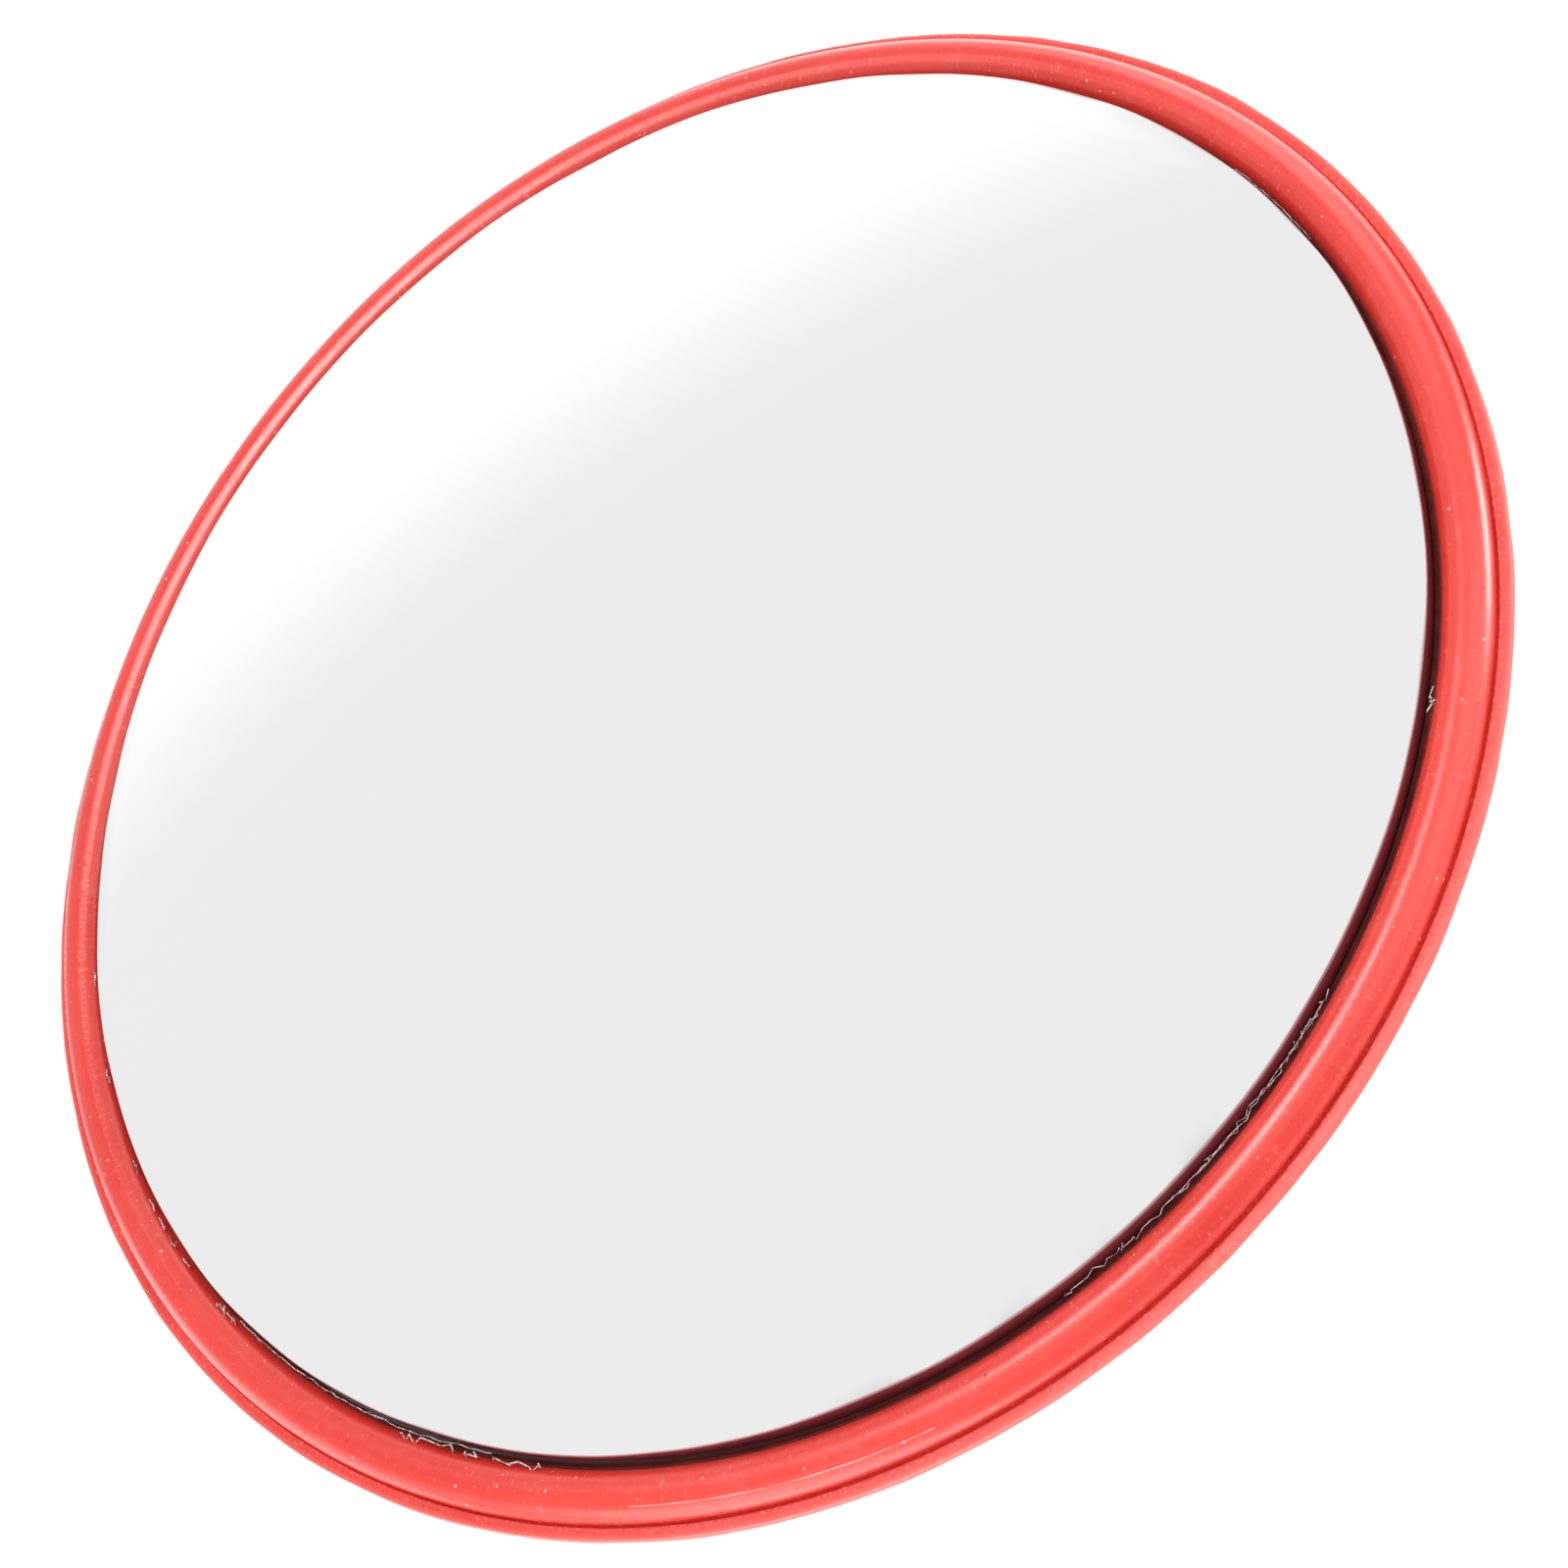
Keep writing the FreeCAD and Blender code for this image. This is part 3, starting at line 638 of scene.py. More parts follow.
# Smudges take a little of the colour and the gloss, in patches a centimetre or two long.
smudges = add(tree, "TexNoise", {"Scale": 75.0, "Detail": 6.0, "Roughness": 0.65}, {"Vector": place})
dusty = add(tree, "MapRange", {"From Min": 0.52, "From Max": 0.80, "To Max": 0.30}, {"Value": smudges})
tints.append((dusty, "#D0655D"))
gloss = add(tree, "MapRange", {"From Min": 0.35, "From Max": 0.75, "To Min": 0.24, "To Max": 0.37},
            {"Value": smudges})
print("layers over the red:", len(tints))

# %% A long scratch on the edging
# One light scratch, 60 mm long and 0.15 mm wide, runs round the lower side of the bead.
ring_parts = add(tree, "SeparateXYZ", links={"Vector": along_ring})
track = add(tree, "MapRange",
            {"From Min": -0.257, "From Max": -0.196, "To Min": 0.1549, "To Max": 0.1556},
            {"Value": ring_parts.outputs["X"]}, clamp=False)
beside = add(tree, "Math", links={0: ring_parts.outputs["Y"], 1: track}, operation="SUBTRACT")
beside = add(tree, "Math", links={0: beside}, operation="ABSOLUTE")
line = add(tree, "MapRange", {"From Min": 0.00013, "From Max": 0.00003}, {"Value": beside})
SCRATCH_MIDDLE, SCRATCH_HALF = -0.2265, 0.0305
reach = add(tree, "Math", {1: SCRATCH_MIDDLE, 2: SCRATCH_HALF}, {0: ring_parts.outputs["X"]},
            operation="COMPARE")
broken = add(tree, "MapRange", {"From Min": 0.40, "From Max": 0.55}, {"Value": smudges})
line = add(tree, "Math", links={0: line, 1: reach}, operation="MULTIPLY")
line = add(tree, "Math", links={0: line, 1: broken}, operation="MULTIPLY")
tints.append((line, "#F7A89E"))
print("scratch:", round(2000 * SCRATCH_HALF), "mm long")

# %% Die lines and ticks on the edging
# Die lines run with the ring, 0.5 mm apart, and broader dull streaks 2 mm apart.  Fine pale ticks
# cross it where it was bent and handled.
lines, ticks, streaks = [
    add(tree, "TexNoise", {"Scale": 1.0, "Detail": detail},
        {"Vector": add(tree, "Mapping", {"Scale": scale}, {"Vector": along_ring})})
    for scale, detail in (((6.0, 2000.0, 2000.0), 2.0), ((1500.0, 420.0, 420.0), 3.0),
                          ((5.0, 480.0, 480.0), 2.0))]
dark_streaks = (streaks, 0.48, 0.70, 0.22, "#B92B24")
pale_streaks = (streaks, 0.50, 0.30, 0.16, "#EE7F76")
pale_ticks = (ticks, 0.64, 0.80, 0.42, "#F5A097")
for pattern, low, high, most, colour in (dark_streaks, pale_streaks, pale_ticks):
    share = add(tree, "MapRange", {"From Min": low, "From Max": high, "To Max": most}, {"Value": pattern})
    tints.append((share, colour))
first = add(tree, "Bump", {"Strength": 0.16, "Distance": 0.0001}, {"Height": lines})
second = add(tree, "Bump", {"Strength": 0.35, "Distance": 0.0001}, {"Height": ticks, "Normal": first})
feed(shader, {"Normal": second, "Base Color": tinted(tree, base, tints), "Roughness": gloss})
dress(ring, "mirror_head", pvc, "red_edging", "edge_ring")

# %% [markdown]
# ## The back shell
#
# The shell is one sheet of red plastic, formed into a shallow dish with a flat boss in the
# middle and eight stiffening ribs.  Its flange carries the edging and is trimmed by hand with a
# knife, so its edge wanders a few tenths of a millimetre.  The dish is turned.  The ribs are
# extruded from their side outline, turned into place and united with it.

# %% Shell shape
SHELL_EDGE = 159.85
dish_back = arc_through((60.6, -18.45), (104.0, -15.2), (143.8, -7.1), 16)
dish_front = arc_through((142.6, -5.0), (103.0, -12.9), (59.6, -16.15), 16)
shell_section = ([(0, -22), (53.6, -22), (54.9, -21.8), (56, -21.25), (59, -19.1)] + dish_back
                 + [(144.7, -6.4), (147.2, -3.0), (148.2, -2.3), (149.2, -2.2), (158.6, -2.2),
                    (SHELL_EDGE - 0.35, -2.15), (SHELL_EDGE, -1.8), (SHELL_EDGE, -1.0), (SHELL_EDGE, -0.45),
                    (SHELL_EDGE - 0.15, -0.12), (SHELL_EDGE - 0.5, 0), (158.2, 0), (157.45, 0),
                    (157.3, -0.12), (157.1, -0.2), (156.6, -0.2), (156.2, 0), (150, 0), (143.2, 0),
                    (142.6, -0.6)]
                 + dish_front + [(58.4, -16.5), (55, -19.2), (53.4, -19.5), (0, -19.5)])
shell = turned("back_shell_dish", shell_section, head_centre, FORWARD, steps=360, close=False)

RIB_THICKNESS = 2.5
rib_outline = [(57.0, -20.6), (78, -19.9), (100.0, -18.6), (120, -15.6), (138.0, -11.4), (143.5, -7.0),
               (138.0, -6.4), (100.0, -14.0), (57.5, -17.2)]
ribs = []
for number in range(8):
    outline = flat(rib_outline, Vector((0, 0, -RIB_THICKNESS / 2 * MM)), X_AXIS, Y_AXIS * -1)
    rib = extruded(f"rib_{number}", outline, Z_AXIS * RIB_THICKNESS * MM)
    softened(rib, 0.7, 3)
    ribs.append(apply_place(rib, head_centre, (0, math.radians(45 * (number + 0.5)), 0)))
cut(shell, joined("ribs", ribs), "UNION")

SCREW_PLACES = [Vector((x * MM, 0, z * MM)) for x in (-30, 30) for z in (-30, 30)]


def drilled(piece, radius, place, along, length=200.0):
    """Drills a round hole through a piece."""
    bit = turned("bit", [(0, -length / 2), (radius, -length / 2), (radius, length / 2), (0, length / 2)],
                 place, along, steps=40, close=False)
    return cut(piece, bit)


for place in SCREW_PLACES:
    drilled(shell, 3.0, head_centre + Vector((0, 16 * MM, 0)) + place, Y_AXIS, 20)
finished(shell)

# %% Hand-trimmed edge
wavering(shell, "trimmed_edge", "knife_wander", lambda co: math.hypot(co.x, co.z) > (SHELL_EDGE - 0.6) * MM,
         0.016, 2, 0.0005, 0.78)
edge_radii = [math.hypot(v.co.x, v.co.z) for v in shell.data.vertices]
print("flange edge reaches", round(1000 * max(edge_radii), 2), "mm")

# %% [markdown]
# ## Formed red sheet
#
# The sheet is duller than the edging.  Trimming and handling leave it speckled: pale dust, dark
# pin spots and fine cuts.  Where the knife ran, the edge is lighter and rougher.  The grain is
# drawn at about half a millimetre, a little coarser than real, so that it shows.

# %% Shell finish
red_sheet, tree, shader, place = new_material("formed_red_sheet", IOR=1.49)
along_ring = ring_coordinates(tree, place)
drift = add(tree, "TexNoise", {"Scale": 60.0, "Detail": 5.0, "Roughness": 0.6}, {"Vector": place})
base = add(tree, "ValToRGB", links={"Fac": drift}, stops=[(0.3, "#D2362D"), (0.7, "#DC4037")])
speckle = add(tree, "TexNoise", {"Scale": 1500.0, "Detail": 3.0}, {"Vector": place})
pale = add(tree, "MapRange", {"From Min": 0.57, "From Max": 0.78, "To Max": 0.75}, {"Value": speckle})
dark = add(tree, "MapRange", {"From Min": 0.43, "From Max": 0.24, "To Max": 0.75}, {"Value": speckle})
ring_parts = add(tree, "SeparateXYZ", links={"Vector": along_ring})
scraped = add(tree, "MapRange", {"From Min": 0.1586, "From Max": 0.1597, "To Max": 0.45},
              {"Value": ring_parts.outputs["Y"]})
layer = tinted(tree, base, ((pale, "#F09084"), (dark, "#A82A24"), (scraped, "#F4877C")))
rough = add(tree, "MapRange", {"To Min": 0.30, "To Max": 0.55}, {"Value": drift})
grain = add(tree, "Bump", {"Strength": 0.25, "Distance": 0.0002}, {"Height": speckle})
feed(shader, {"Base Color": layer, "Roughness": rough, "Normal": grain})
dress(shell, "mirror_head", red_sheet, "red_shell", "back_shell")

# %% [markdown]
# ## The adhesive
#
# Clear adhesive holds the dome's flange and fills the foot of the gap beside the bead.  Down
# there it lies in deep shadow.  Its colour is painted shade, a dark red line, with the red a
# painted reflection of the edging beside it.

# %% Adhesive body
glue_section = [(146.2, 2.0), (151.5, 2.0), (151.5, 2.28), (147.3, 2.28), (147.0, 2.42), (146.6, 2.38),
                (146.2, 2.75)]
glue = turned("lens_adhesive_fill", glue_section, head_centre, FORWARD, steps=256)
# The colour is painted shade of the deep gap, tinted red as a painted reflection of the edging.
glue_painted_shade = plain_finish("clear_adhesive_painted_shade", 260.0, 4.0,
                         [(0.35, "#46100D"), (0.62, "#5C1A17"), (0.74, "#74322E")], bump=(0.5, 0.0005),
                         Roughness=0.42, IOR=1.47, Specular_IOR_Level=0.15)
dress(glue, "mirror_head", glue_painted_shade, "clear_adhesive", "lens_adhesive")

# %% [markdown]
# ## Strings of adhesive
#
# Where the nozzle was lifted, the adhesive pulled out into thin strings that dried in the gap and
# over its edge.  Each string is a ragged chain of edges, turned into a curve to make it round, and
# back into a mesh.  Its wandering comes from a seeded generator, so every run gives the same one.

# %% Adhesive strings
wandering = random.Random(11)


def on_ring(angle, radius, height):
    """A place at an angle round the ring, at a radius and a height above the flange, in mm."""
    turn = math.radians(angle)
    return head_centre + Vector((radius * math.cos(turn), -height, radius * math.sin(turn))) * MM


def glue_string(first, last, step, low, high, thickness):
    """A string from one angle to another that wanders between (radius, height) low and high."""
    way = math.copysign(1, last - first)
    angle = first
    points = []
    while (last - angle) * way > 0:
        lively = 0.35 + 0.65 * wandering.random() ** 1.5
        share = 0.5 + (wandering.random() - 0.5) * lively
        radius = low[0] + (high[0] - low[0]) * share
        height = low[1] + (high[1] - low[1]) * (1 - share) + wandering.uniform(-0.25, 0.25)
        points.append(on_ring(angle, radius, height))
        angle += way * step * wandering.uniform(-0.45, 1.9)
    points.append(on_ring(last, (low[0] + high[0]) / 2, (low[1] + high[1]) / 2))
    string = traced("string", points)
    bpy.ops.object.mode_set(mode="OBJECT")
    bpy.ops.object.convert(target="CURVE")
    string = bpy.context.object
    string.data.bevel_depth = thickness / 2 * MM
    string.data.bevel_resolution = 1
    string.data.use_fill_caps = True
    bpy.ops.object.convert(target="MESH")
    return finished(bpy.context.object, 60)


on_wall = ((146.4, 3.0), (147.0, 4.9))
high_up = ((146.35, 4.3), (147.0, 5.6))
curled = ((146.5, 3.4), (148.9, 5.9))
# First and last angle, step, the limits it wanders between, and thickness.
strings = [glue_string(first, last, step, *limits, thickness) for first, last, step, limits, thickness in (
    (-34, -62, 0.50, on_wall, 0.17), (-35, -52, 0.9, on_wall, 0.12), (-12.9, -10.9, 0.6, curled, 0.26),
    (-119, -136, 0.6, high_up, 0.16), (-104.8, -108.8, 0.9, curled, 0.36),
    (-110.5, -117.5, 0.8, curled, 0.30), (-109, -121, 0.7, high_up, 0.15), (40, 30, 0.6, high_up, 0.12))]
for place in (-136.5, -138, -143.5, -146, -148, -150, -154, -163, -172, -203):
    strings.append(glue_string(place, place - 1.1, 0.36, *curled, 0.24))
strings = joined("glue_strings", strings)
dried = plain_finish("dried_adhesive_strings", 900.0, 3.0, [(0.36, "#8A7476"), (0.56, "#F4EFED")],
                     Roughness=0.22, IOR=1.47, Transmission_Weight=0.25)
dress(strings, "mirror_head", dried, "clear_adhesive")

# %% [markdown]
# ## Metals, nylon and rubber
#
# The bracket's sheet steel is hot-dip galvanised: the zinc freezes in feathery grains a few
# millimetres across, each with its own grey and its own gloss.  The fasteners are electroplated
# with bright zinc, which is smoother and a little blue.  Both are metals, so they keep the
# default IOR, and the patterns go into their colour and roughness.

# %% Galvanised steel
galvanised, tree, shader, place = new_material("galvanised_steel", Metallic=1.0)
bend = add(tree, "TexNoise", {"Scale": 260.0, "Detail": 3.0}, {"Vector": place})
feather = add(tree, "MixRGB", {"Fac": 0.006}, {"Color1": place, "Color2": bend.outputs["Color"]})
spangle = add(tree, "TexVoronoi", {"Scale": 230.0}, {"Vector": feather})
grey = add(tree, "SeparateColor", links={"Color": spangle.outputs["Color"]})
shade = add(tree, "ValToRGB", links={"Fac": grey.outputs["Red"]},
            stops=[(0.0, "#969B9E"), (0.5, "#A6ABAE"), (1.0, "#B7BBBD")])
gloss = add(tree, "MapRange", {"To Min": 0.34, "To Max": 0.52}, {"Value": grey.outputs["Green"]})
runs = add(tree, "TexNoise", {"Scale": 900.0, "Detail": 4.0}, {"Vector": place})
skin = add(tree, "Bump", {"Strength": 0.16, "Distance": 0.0002}, {"Height": runs})
feed(shader, {"Base Color": shade, "Roughness": gloss, "Normal": skin})
print("finish:", galvanised.name)

# %% Bright zinc plating, nylon and rubber
bright_zinc = plain_finish("bright_zinc_plated_steel", 320.0, 4.0,
                           [(0.3, "#AEB4B9"), (0.5, "#C3C9CD"), (0.7, "#CFD2D0")],
                           gloss=(0.3, 0.7, 0.20, 0.36), Metallic=1.0)
tree = bright_zinc.node_tree
place = add(tree, "TexCoord").outputs["Object"]
marks = add(tree, "TexNoise", {"Scale": 2600.0, "Detail": 2.0}, {"Vector": place})
skin = add(tree, "Bump", {"Strength": 0.10, "Distance": 0.0001}, {"Height": marks})
feed(tree.nodes["Principled BSDF"], {"Normal": skin})

nylon = plain_finish("moulded_nylon", 400.0, 3.0, [(0.35, "#DAD6C8"), (0.65, "#E8E5DA")], bump=(0.15, 0.0001),
                     Roughness=0.46, IOR=1.53, Subsurface_Weight=0.2,
                     Subsurface_Radius=(1.0 * MM, 0.9 * MM, 0.7 * MM))
rubber = plain_finish("extruded_epdm_rubber", 700.0, 5.0,
                      [(0.4, "#171718"), (0.62, "#242426"), (0.8, "#3C3B3A")],
                      bump=(0.35, 0.0001), gloss=(0.0, 1.0, 0.55, 0.80), IOR=1.52)
print("finishes:", bright_zinc.name, nylon.name, rubber.name)

# %% [markdown]
# ## Plates
#
# The mounting plates are cut from sheet, tumbled, drilled and galvanised, so every edge is
# slightly round.  Each starts as an outline, is extruded to its thickness, drilled, and softened.

# %% Back plate and inner plate
SHEET_EDGE = 0.35
PLATE_CORNER = 8
SCREW_HOLE = 3.0


def rounded_square(half, corner):
    """The outline of a square with round corners."""
    inner = half - corner
    points = []
    for quarter, (a, b) in enumerate(((1, 1), (-1, 1), (-1, -1), (1, -1))):
        points += round_points(a * inner, b * inner, corner, 90 * quarter, 90 * quarter + 90, 8)
    return points


def drilled_plate(name, node, half):
    """A square plate with the four screw holes, between the faces of its CAD node."""
    low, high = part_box(node)
    outline = flat(rounded_square(half, PLATE_CORNER), Vector((0, low.y, 0)), X_AXIS, Z_AXIS)
    plate = extruded(name, outline, Y_AXIS * (high.y - low.y))
    for place in SCREW_PLACES:
        drilled(plate, SCREW_HOLE, Vector((0, low.y, 0)) + place, Y_AXIS, 20)
    return softened(plate, SHEET_EDGE)


sheet = (galvanised, "zinc_steel")
for node, half in (("back_plate", 40), ("inner_plate", 37)):
    dress(drilled_plate(node + "_sheet", node, half), "mirror_head", *sheet, node)

# %% [markdown]
# ## The clevis and the fork
#
# Both are bent from 3 mm sheet.  The bent section is extruded first.  Its side view is extruded
# across it, and only what lies in both is kept, which gives the tapering ears their round ends.
# Where the clevis meets the back plate a weld bead runs down each side.

# %% Bent channel and weld bead
BEND_OUT, BEND_IN = 2.5, 0.6
PLATE_GAP = 0.02


def channel(half_out, half_in, foot, web, top):
    """The outline of a bent channel.  Its web lies between foot and web, and its ears reach to top."""
    return ([(-half_out, top)]
            + round_points(-half_out + BEND_OUT, foot + BEND_OUT, BEND_OUT, 180, 270, 8)
            + round_points(half_out - BEND_OUT, foot + BEND_OUT, BEND_OUT, 270, 360, 8)
            + [(half_out, top), (half_in, top)]
            + round_points(half_in - BEND_IN, web + BEND_IN, BEND_IN, 0, -90, 3)
            + round_points(-half_in + BEND_IN, web + BEND_IN, BEND_IN, 270, 180, 3) + [(-half_in, top)])


def weld_bead(name, points, radius, towards):
    """A rippled bead of weld metal that follows the points, with tapered ends."""
    pick_nothing()
    bpy.ops.mesh.primitive_circle_add(vertices=10, radius=radius * MM, fill_type="NGON", location=points[0],
                                      rotation=towards.to_track_quat("Z", "Y").to_euler())
    bead = bpy.context.object
    bead.name = name
    bpy.ops.object.transform_apply(location=True, rotation=True)
    bpy.ops.object.mode_set(mode="EDIT")
    bpy.ops.mesh.select_all(action="SELECT")
    bpy.ops.transform.resize(value=(0.45, 0.45, 0.45), center_override=points[0])
    size = 0.45
    last = len(points) - 1
    for number in range(1, last + 1):
        ripple = 0.92 + 0.08 * math.cos(number * 2.1) + 0.05 * math.cos(number * 0.37)
        wanted = ripple * min(1.0, 0.45 + 0.3 * number, 0.45 + 0.3 * (last - number))
        onward = points[number] - points[number - 1]
        bpy.ops.mesh.extrude_region_move(TRANSFORM_OT_translate={"value": onward})
        bpy.ops.transform.resize(value=(wanted / size,) * 3, center_override=points[number])
        size = wanted
    return finished(bead, 60)


# %% Clevis
CLEVIS_IN, CLEVIS_OUT = 13.5, 16.5
BACK_Y, WEB_Y, TILT_Y = -103.0, -100.0, -80.0
EAR_END_Y, EAR_FOOT_Y, EAR_ROUND = -66, -99, 13
CLEVIS_HALF = 19
BOLT_HOLE = 4.08
channel_outline = channel(CLEVIS_OUT, CLEVIS_IN, BACK_Y, WEB_Y, EAR_END_Y)
base = flat(channel_outline, Z_AXIS * -CLEVIS_HALF * MM)
clevis = extruded("tilt_clevis_channel", base, Z_AXIS * 2 * CLEVIS_HALF * MM)
side_view = ([(BACK_Y, -CLEVIS_HALF), (EAR_FOOT_Y, -CLEVIS_HALF)]
             + round_points(TILT_Y, 0, EAR_ROUND, -102, 102, 28)
             + [(EAR_FOOT_Y, CLEVIS_HALF), (BACK_Y, CLEVIS_HALF)])
kept = extruded("side_view", flat(side_view, X_AXIS * -20 * MM, Y_AXIS, Z_AXIS), X_AXIS * 40 * MM)
cut(clevis, kept, "INTERSECT")
drilled(clevis, BOLT_HOLE, tilt_centre, X_AXIS, 60)
softened(clevis, SHEET_EDGE)
for side in (-1, 1):
    places = [Vector((side * 16.1 * MM, -102.3 * MM, z * 0.8 * MM)) for z in range(-22, 23)]
    weld = weld_bead("weld", places, 1.5, Z_AXIS)
    sliced(weld, (0, (BACK_Y + PLATE_GAP) * MM, 0), (0, -1, 0))
    cut(clevis, finished(weld, 60), "UNION")
finished(clevis)
dress(clevis, "mirror_head", *sheet, "tilt_clevis")

# %% Fork
FORK_IN, FORK_OUT = 9.0, 12.0
FOOT_LOW, FOOT_TOP = -14.5, -11.5
SWIVEL_Y = -58.0
FORK_FRONT_Y, FORK_DEPTH, FORK_TOP = -92, 24, 13
FORK_EAR_ROUND, HEEL_ROUND = 12, 16
fork_outline = channel(FORK_OUT, FORK_IN, FOOT_LOW, FOOT_TOP, FORK_TOP)
base = flat(fork_outline, Y_AXIS * FORK_FRONT_Y * MM, X_AXIS, Z_AXIS)
fork = extruded("swivel_fork_bent", base, Y_AXIS * FORK_DEPTH * MM)
side_view = [(FORK_FRONT_Y, FOOT_LOW), (FORK_FRONT_Y + FORK_DEPTH, FOOT_LOW)]
side_view += round_points(TILT_Y, 0, FORK_EAR_ROUND, 0, 180, 28)
kept = extruded("side_view", flat(side_view, X_AXIS * -14 * MM, Y_AXIS, Z_AXIS), X_AXIS * 28 * MM)
cut(fork, kept, "INTERSECT")
heel_angle = math.degrees(math.acos(FORK_OUT / HEEL_ROUND))
heel_view = [(-FORK_OUT, -69), (FORK_OUT, -69)]
heel_view += round_points(0, SWIVEL_Y, HEEL_ROUND, -heel_angle, 180 + heel_angle, 36)
heel = extruded("heel", flat(heel_view, Z_AXIS * FOOT_LOW * MM), Z_AXIS * (FOOT_TOP - FOOT_LOW) * MM)
cut(fork, heel, "UNION")
drilled(fork, BOLT_HOLE, tilt_centre, X_AXIS, 60)
drilled(fork, BOLT_HOLE, Vector((0, SWIVEL_Y * MM, FOOT_LOW * MM)), Z_AXIS, 20)
softened(fork, SHEET_EDGE)
dress(fork, "swivel_arm", *sheet, "swivel_fork")

# %% [markdown]
# ## The pole clamp
#
# Each half is a 3 mm strap, rolled to the pole with its rubber and bent outwards at the ears.
# Its plan outline is extruded to the strap's height, and the ears' corners are bevelled round.
# The front half carries the lug for the swivel bolt, which is welded on along its top.

# %% Straps
HOOP_IN, HOOP_OUT, HOOP_MIDDLE = 32.0, 35.0, 33
EAR_NEAR, EAR_FAR, EAR_REACH = 4.0, 7.0, 60.0
BEND = 3.0
STRAP_HALF = 20
EAR_BOLT_X = 47
bend_b = EAR_FAR + BEND
bend_a = math.sqrt((HOOP_OUT + BEND) ** 2 - bend_b ** 2)
bend_angle = math.degrees(math.atan2(bend_b, bend_a))
inner_angle = math.degrees(math.asin(EAR_NEAR / HOOP_IN))
strap_outline = ([(EAR_REACH, EAR_NEAR), (EAR_REACH, EAR_FAR)]
                 + round_points(bend_a, bend_b, BEND, 270, 180 + bend_angle, 6)
                 + round_points(0, 0, HOOP_OUT, bend_angle, 180 - bend_angle, 60)
                 + round_points(-bend_a, bend_b, BEND, 360 - bend_angle, 270, 6)
                 + [(-EAR_REACH, EAR_FAR), (-EAR_REACH, EAR_NEAR)]
                 + round_points(0, 0, HOOP_IN, 180 - inner_angle, inner_angle, 60))


def strap(name, side):
    """Half of the clamp.  side is -1 in front of the pole and 1 behind it."""
    outline = flat([(a, b * side) for a, b in strap_outline], Z_AXIS * -STRAP_HALF * MM)
    piece = extruded(name, outline, Z_AXIS * 2 * STRAP_HALF * MM)
    spots = [v.co for v in piece.data.vertices]
    ends = {v.index for v in piece.data.vertices if abs(v.co.x) > 59.9 * MM}
    pick_parts(piece, "edges", lambda e: set(e.vertices) <= ends
               and abs(spots[e.vertices[0]].y - spots[e.vertices[1]].y) > MM)
    bpy.ops.mesh.bevel(offset=8 * MM, segments=10, affect="EDGES")
    finished(piece)
    for x in (-EAR_BOLT_X, EAR_BOLT_X):
        drilled(piece, 4.5, Vector((x * MM, side * 5.5 * MM, 0)), Y_AXIS, 12)
    return piece


rear = softened(strap("clamp_rear_strap", 1), SHEET_EDGE)
dress(rear, "clamp_back", *sheet, "clamp_rear")

front = strap("clamp_front_strap", -1)
LUG_HALF = 15.0
lug_meets = math.degrees(math.acos(LUG_HALF / HOOP_MIDDLE))
lug_view = (round_points(0, SWIVEL_Y, LUG_HALF, 180, 360, 24)
            + round_points(0, 0, HOOP_MIDDLE, -lug_meets, -180 + lug_meets, 16))
cut(front, extruded("lug", flat(lug_view, Z_AXIS * -20 * MM), Z_AXIS * 4 * MM), "UNION")
drilled(front, 4.3, Vector((0, SWIVEL_Y * MM, -18 * MM)), Z_AXIS, 12)
softened(front, SHEET_EDGE)
weld_path = [Vector((*round_point(0, 0, 35.6 * MM, 35.6 * MM, angle * 0.9), -15.6 * MM))
             for angle in range(-125, -74)]
cut(front, weld_bead("weld", weld_path, 1.6, X_AXIS), "UNION")
finished(front)
dress(front, "pole_bracket", *sheet, "clamp_front")

# %% [markdown]
# ## Rubber liners
#
# The liners are lengths of extruded rubber strip, ribbed on the side that grips the pole.

# %% Liners
LINER_IN, LINER_OUT, LINER_GAP = 30.0, 32.0, 6.0
inner_start = math.degrees(math.asin(LINER_GAP / LINER_IN))
outer_start = math.degrees(math.asin(LINER_GAP / LINER_OUT))
LINER_HALF = 18
RIBS = 26
ribbed = []
rib_angle = (180 - 2 * inner_start) / RIBS
for number in range(RIBS):
    first = inner_start + number * rib_angle
    for share, radius in ((0.0, 30.0), (0.5, 30.0), (0.62, 30.55), (0.88, 30.55)):
        ribbed.append(round_point(0, 0, radius, radius, first + share * rib_angle))
ribbed.append(round_point(0, 0, LINER_IN, LINER_IN, 180 - inner_start))
liner_outline = ribbed + round_points(0, 0, LINER_OUT, 180 - outer_start, outer_start, 48)
for side, node, body in ((-1, "front_liner", "pole_bracket"), (1, "rear_liner", "clamp_back")):
    outline = flat([(a, b * side) for a, b in liner_outline], Z_AXIS * -LINER_HALF * MM)
    liner = extruded(node + "_strip", outline, Z_AXIS * 2 * LINER_HALF * MM)
    dress(softened(liner, 0.15, 1), body, rubber, "black_rubber", node)

# %% [markdown]
# ## Fasteners
#
# Heads and nuts are hexagons whose corners are turned down by a 30 degree cone: a six-sided
# prism is intersected with a turned blank.  The thread is a real helix.  One pitch of its
# profile is screwed up the axis, cut square at both ends, and given the usual chamfered point.

# %% Hexagons and threads
ORIGIN = Vector()
M8 = {"radius": 4.0, "pitch": 1.25, "flats": 13.0, "head": 5.3, "nut": 6.5}
M5 = {"radius": 2.5, "pitch": 0.8, "flats": 8.0, "nut": 4.0}
THREAD_DEPTH = 0.58
SPARE = 0.4


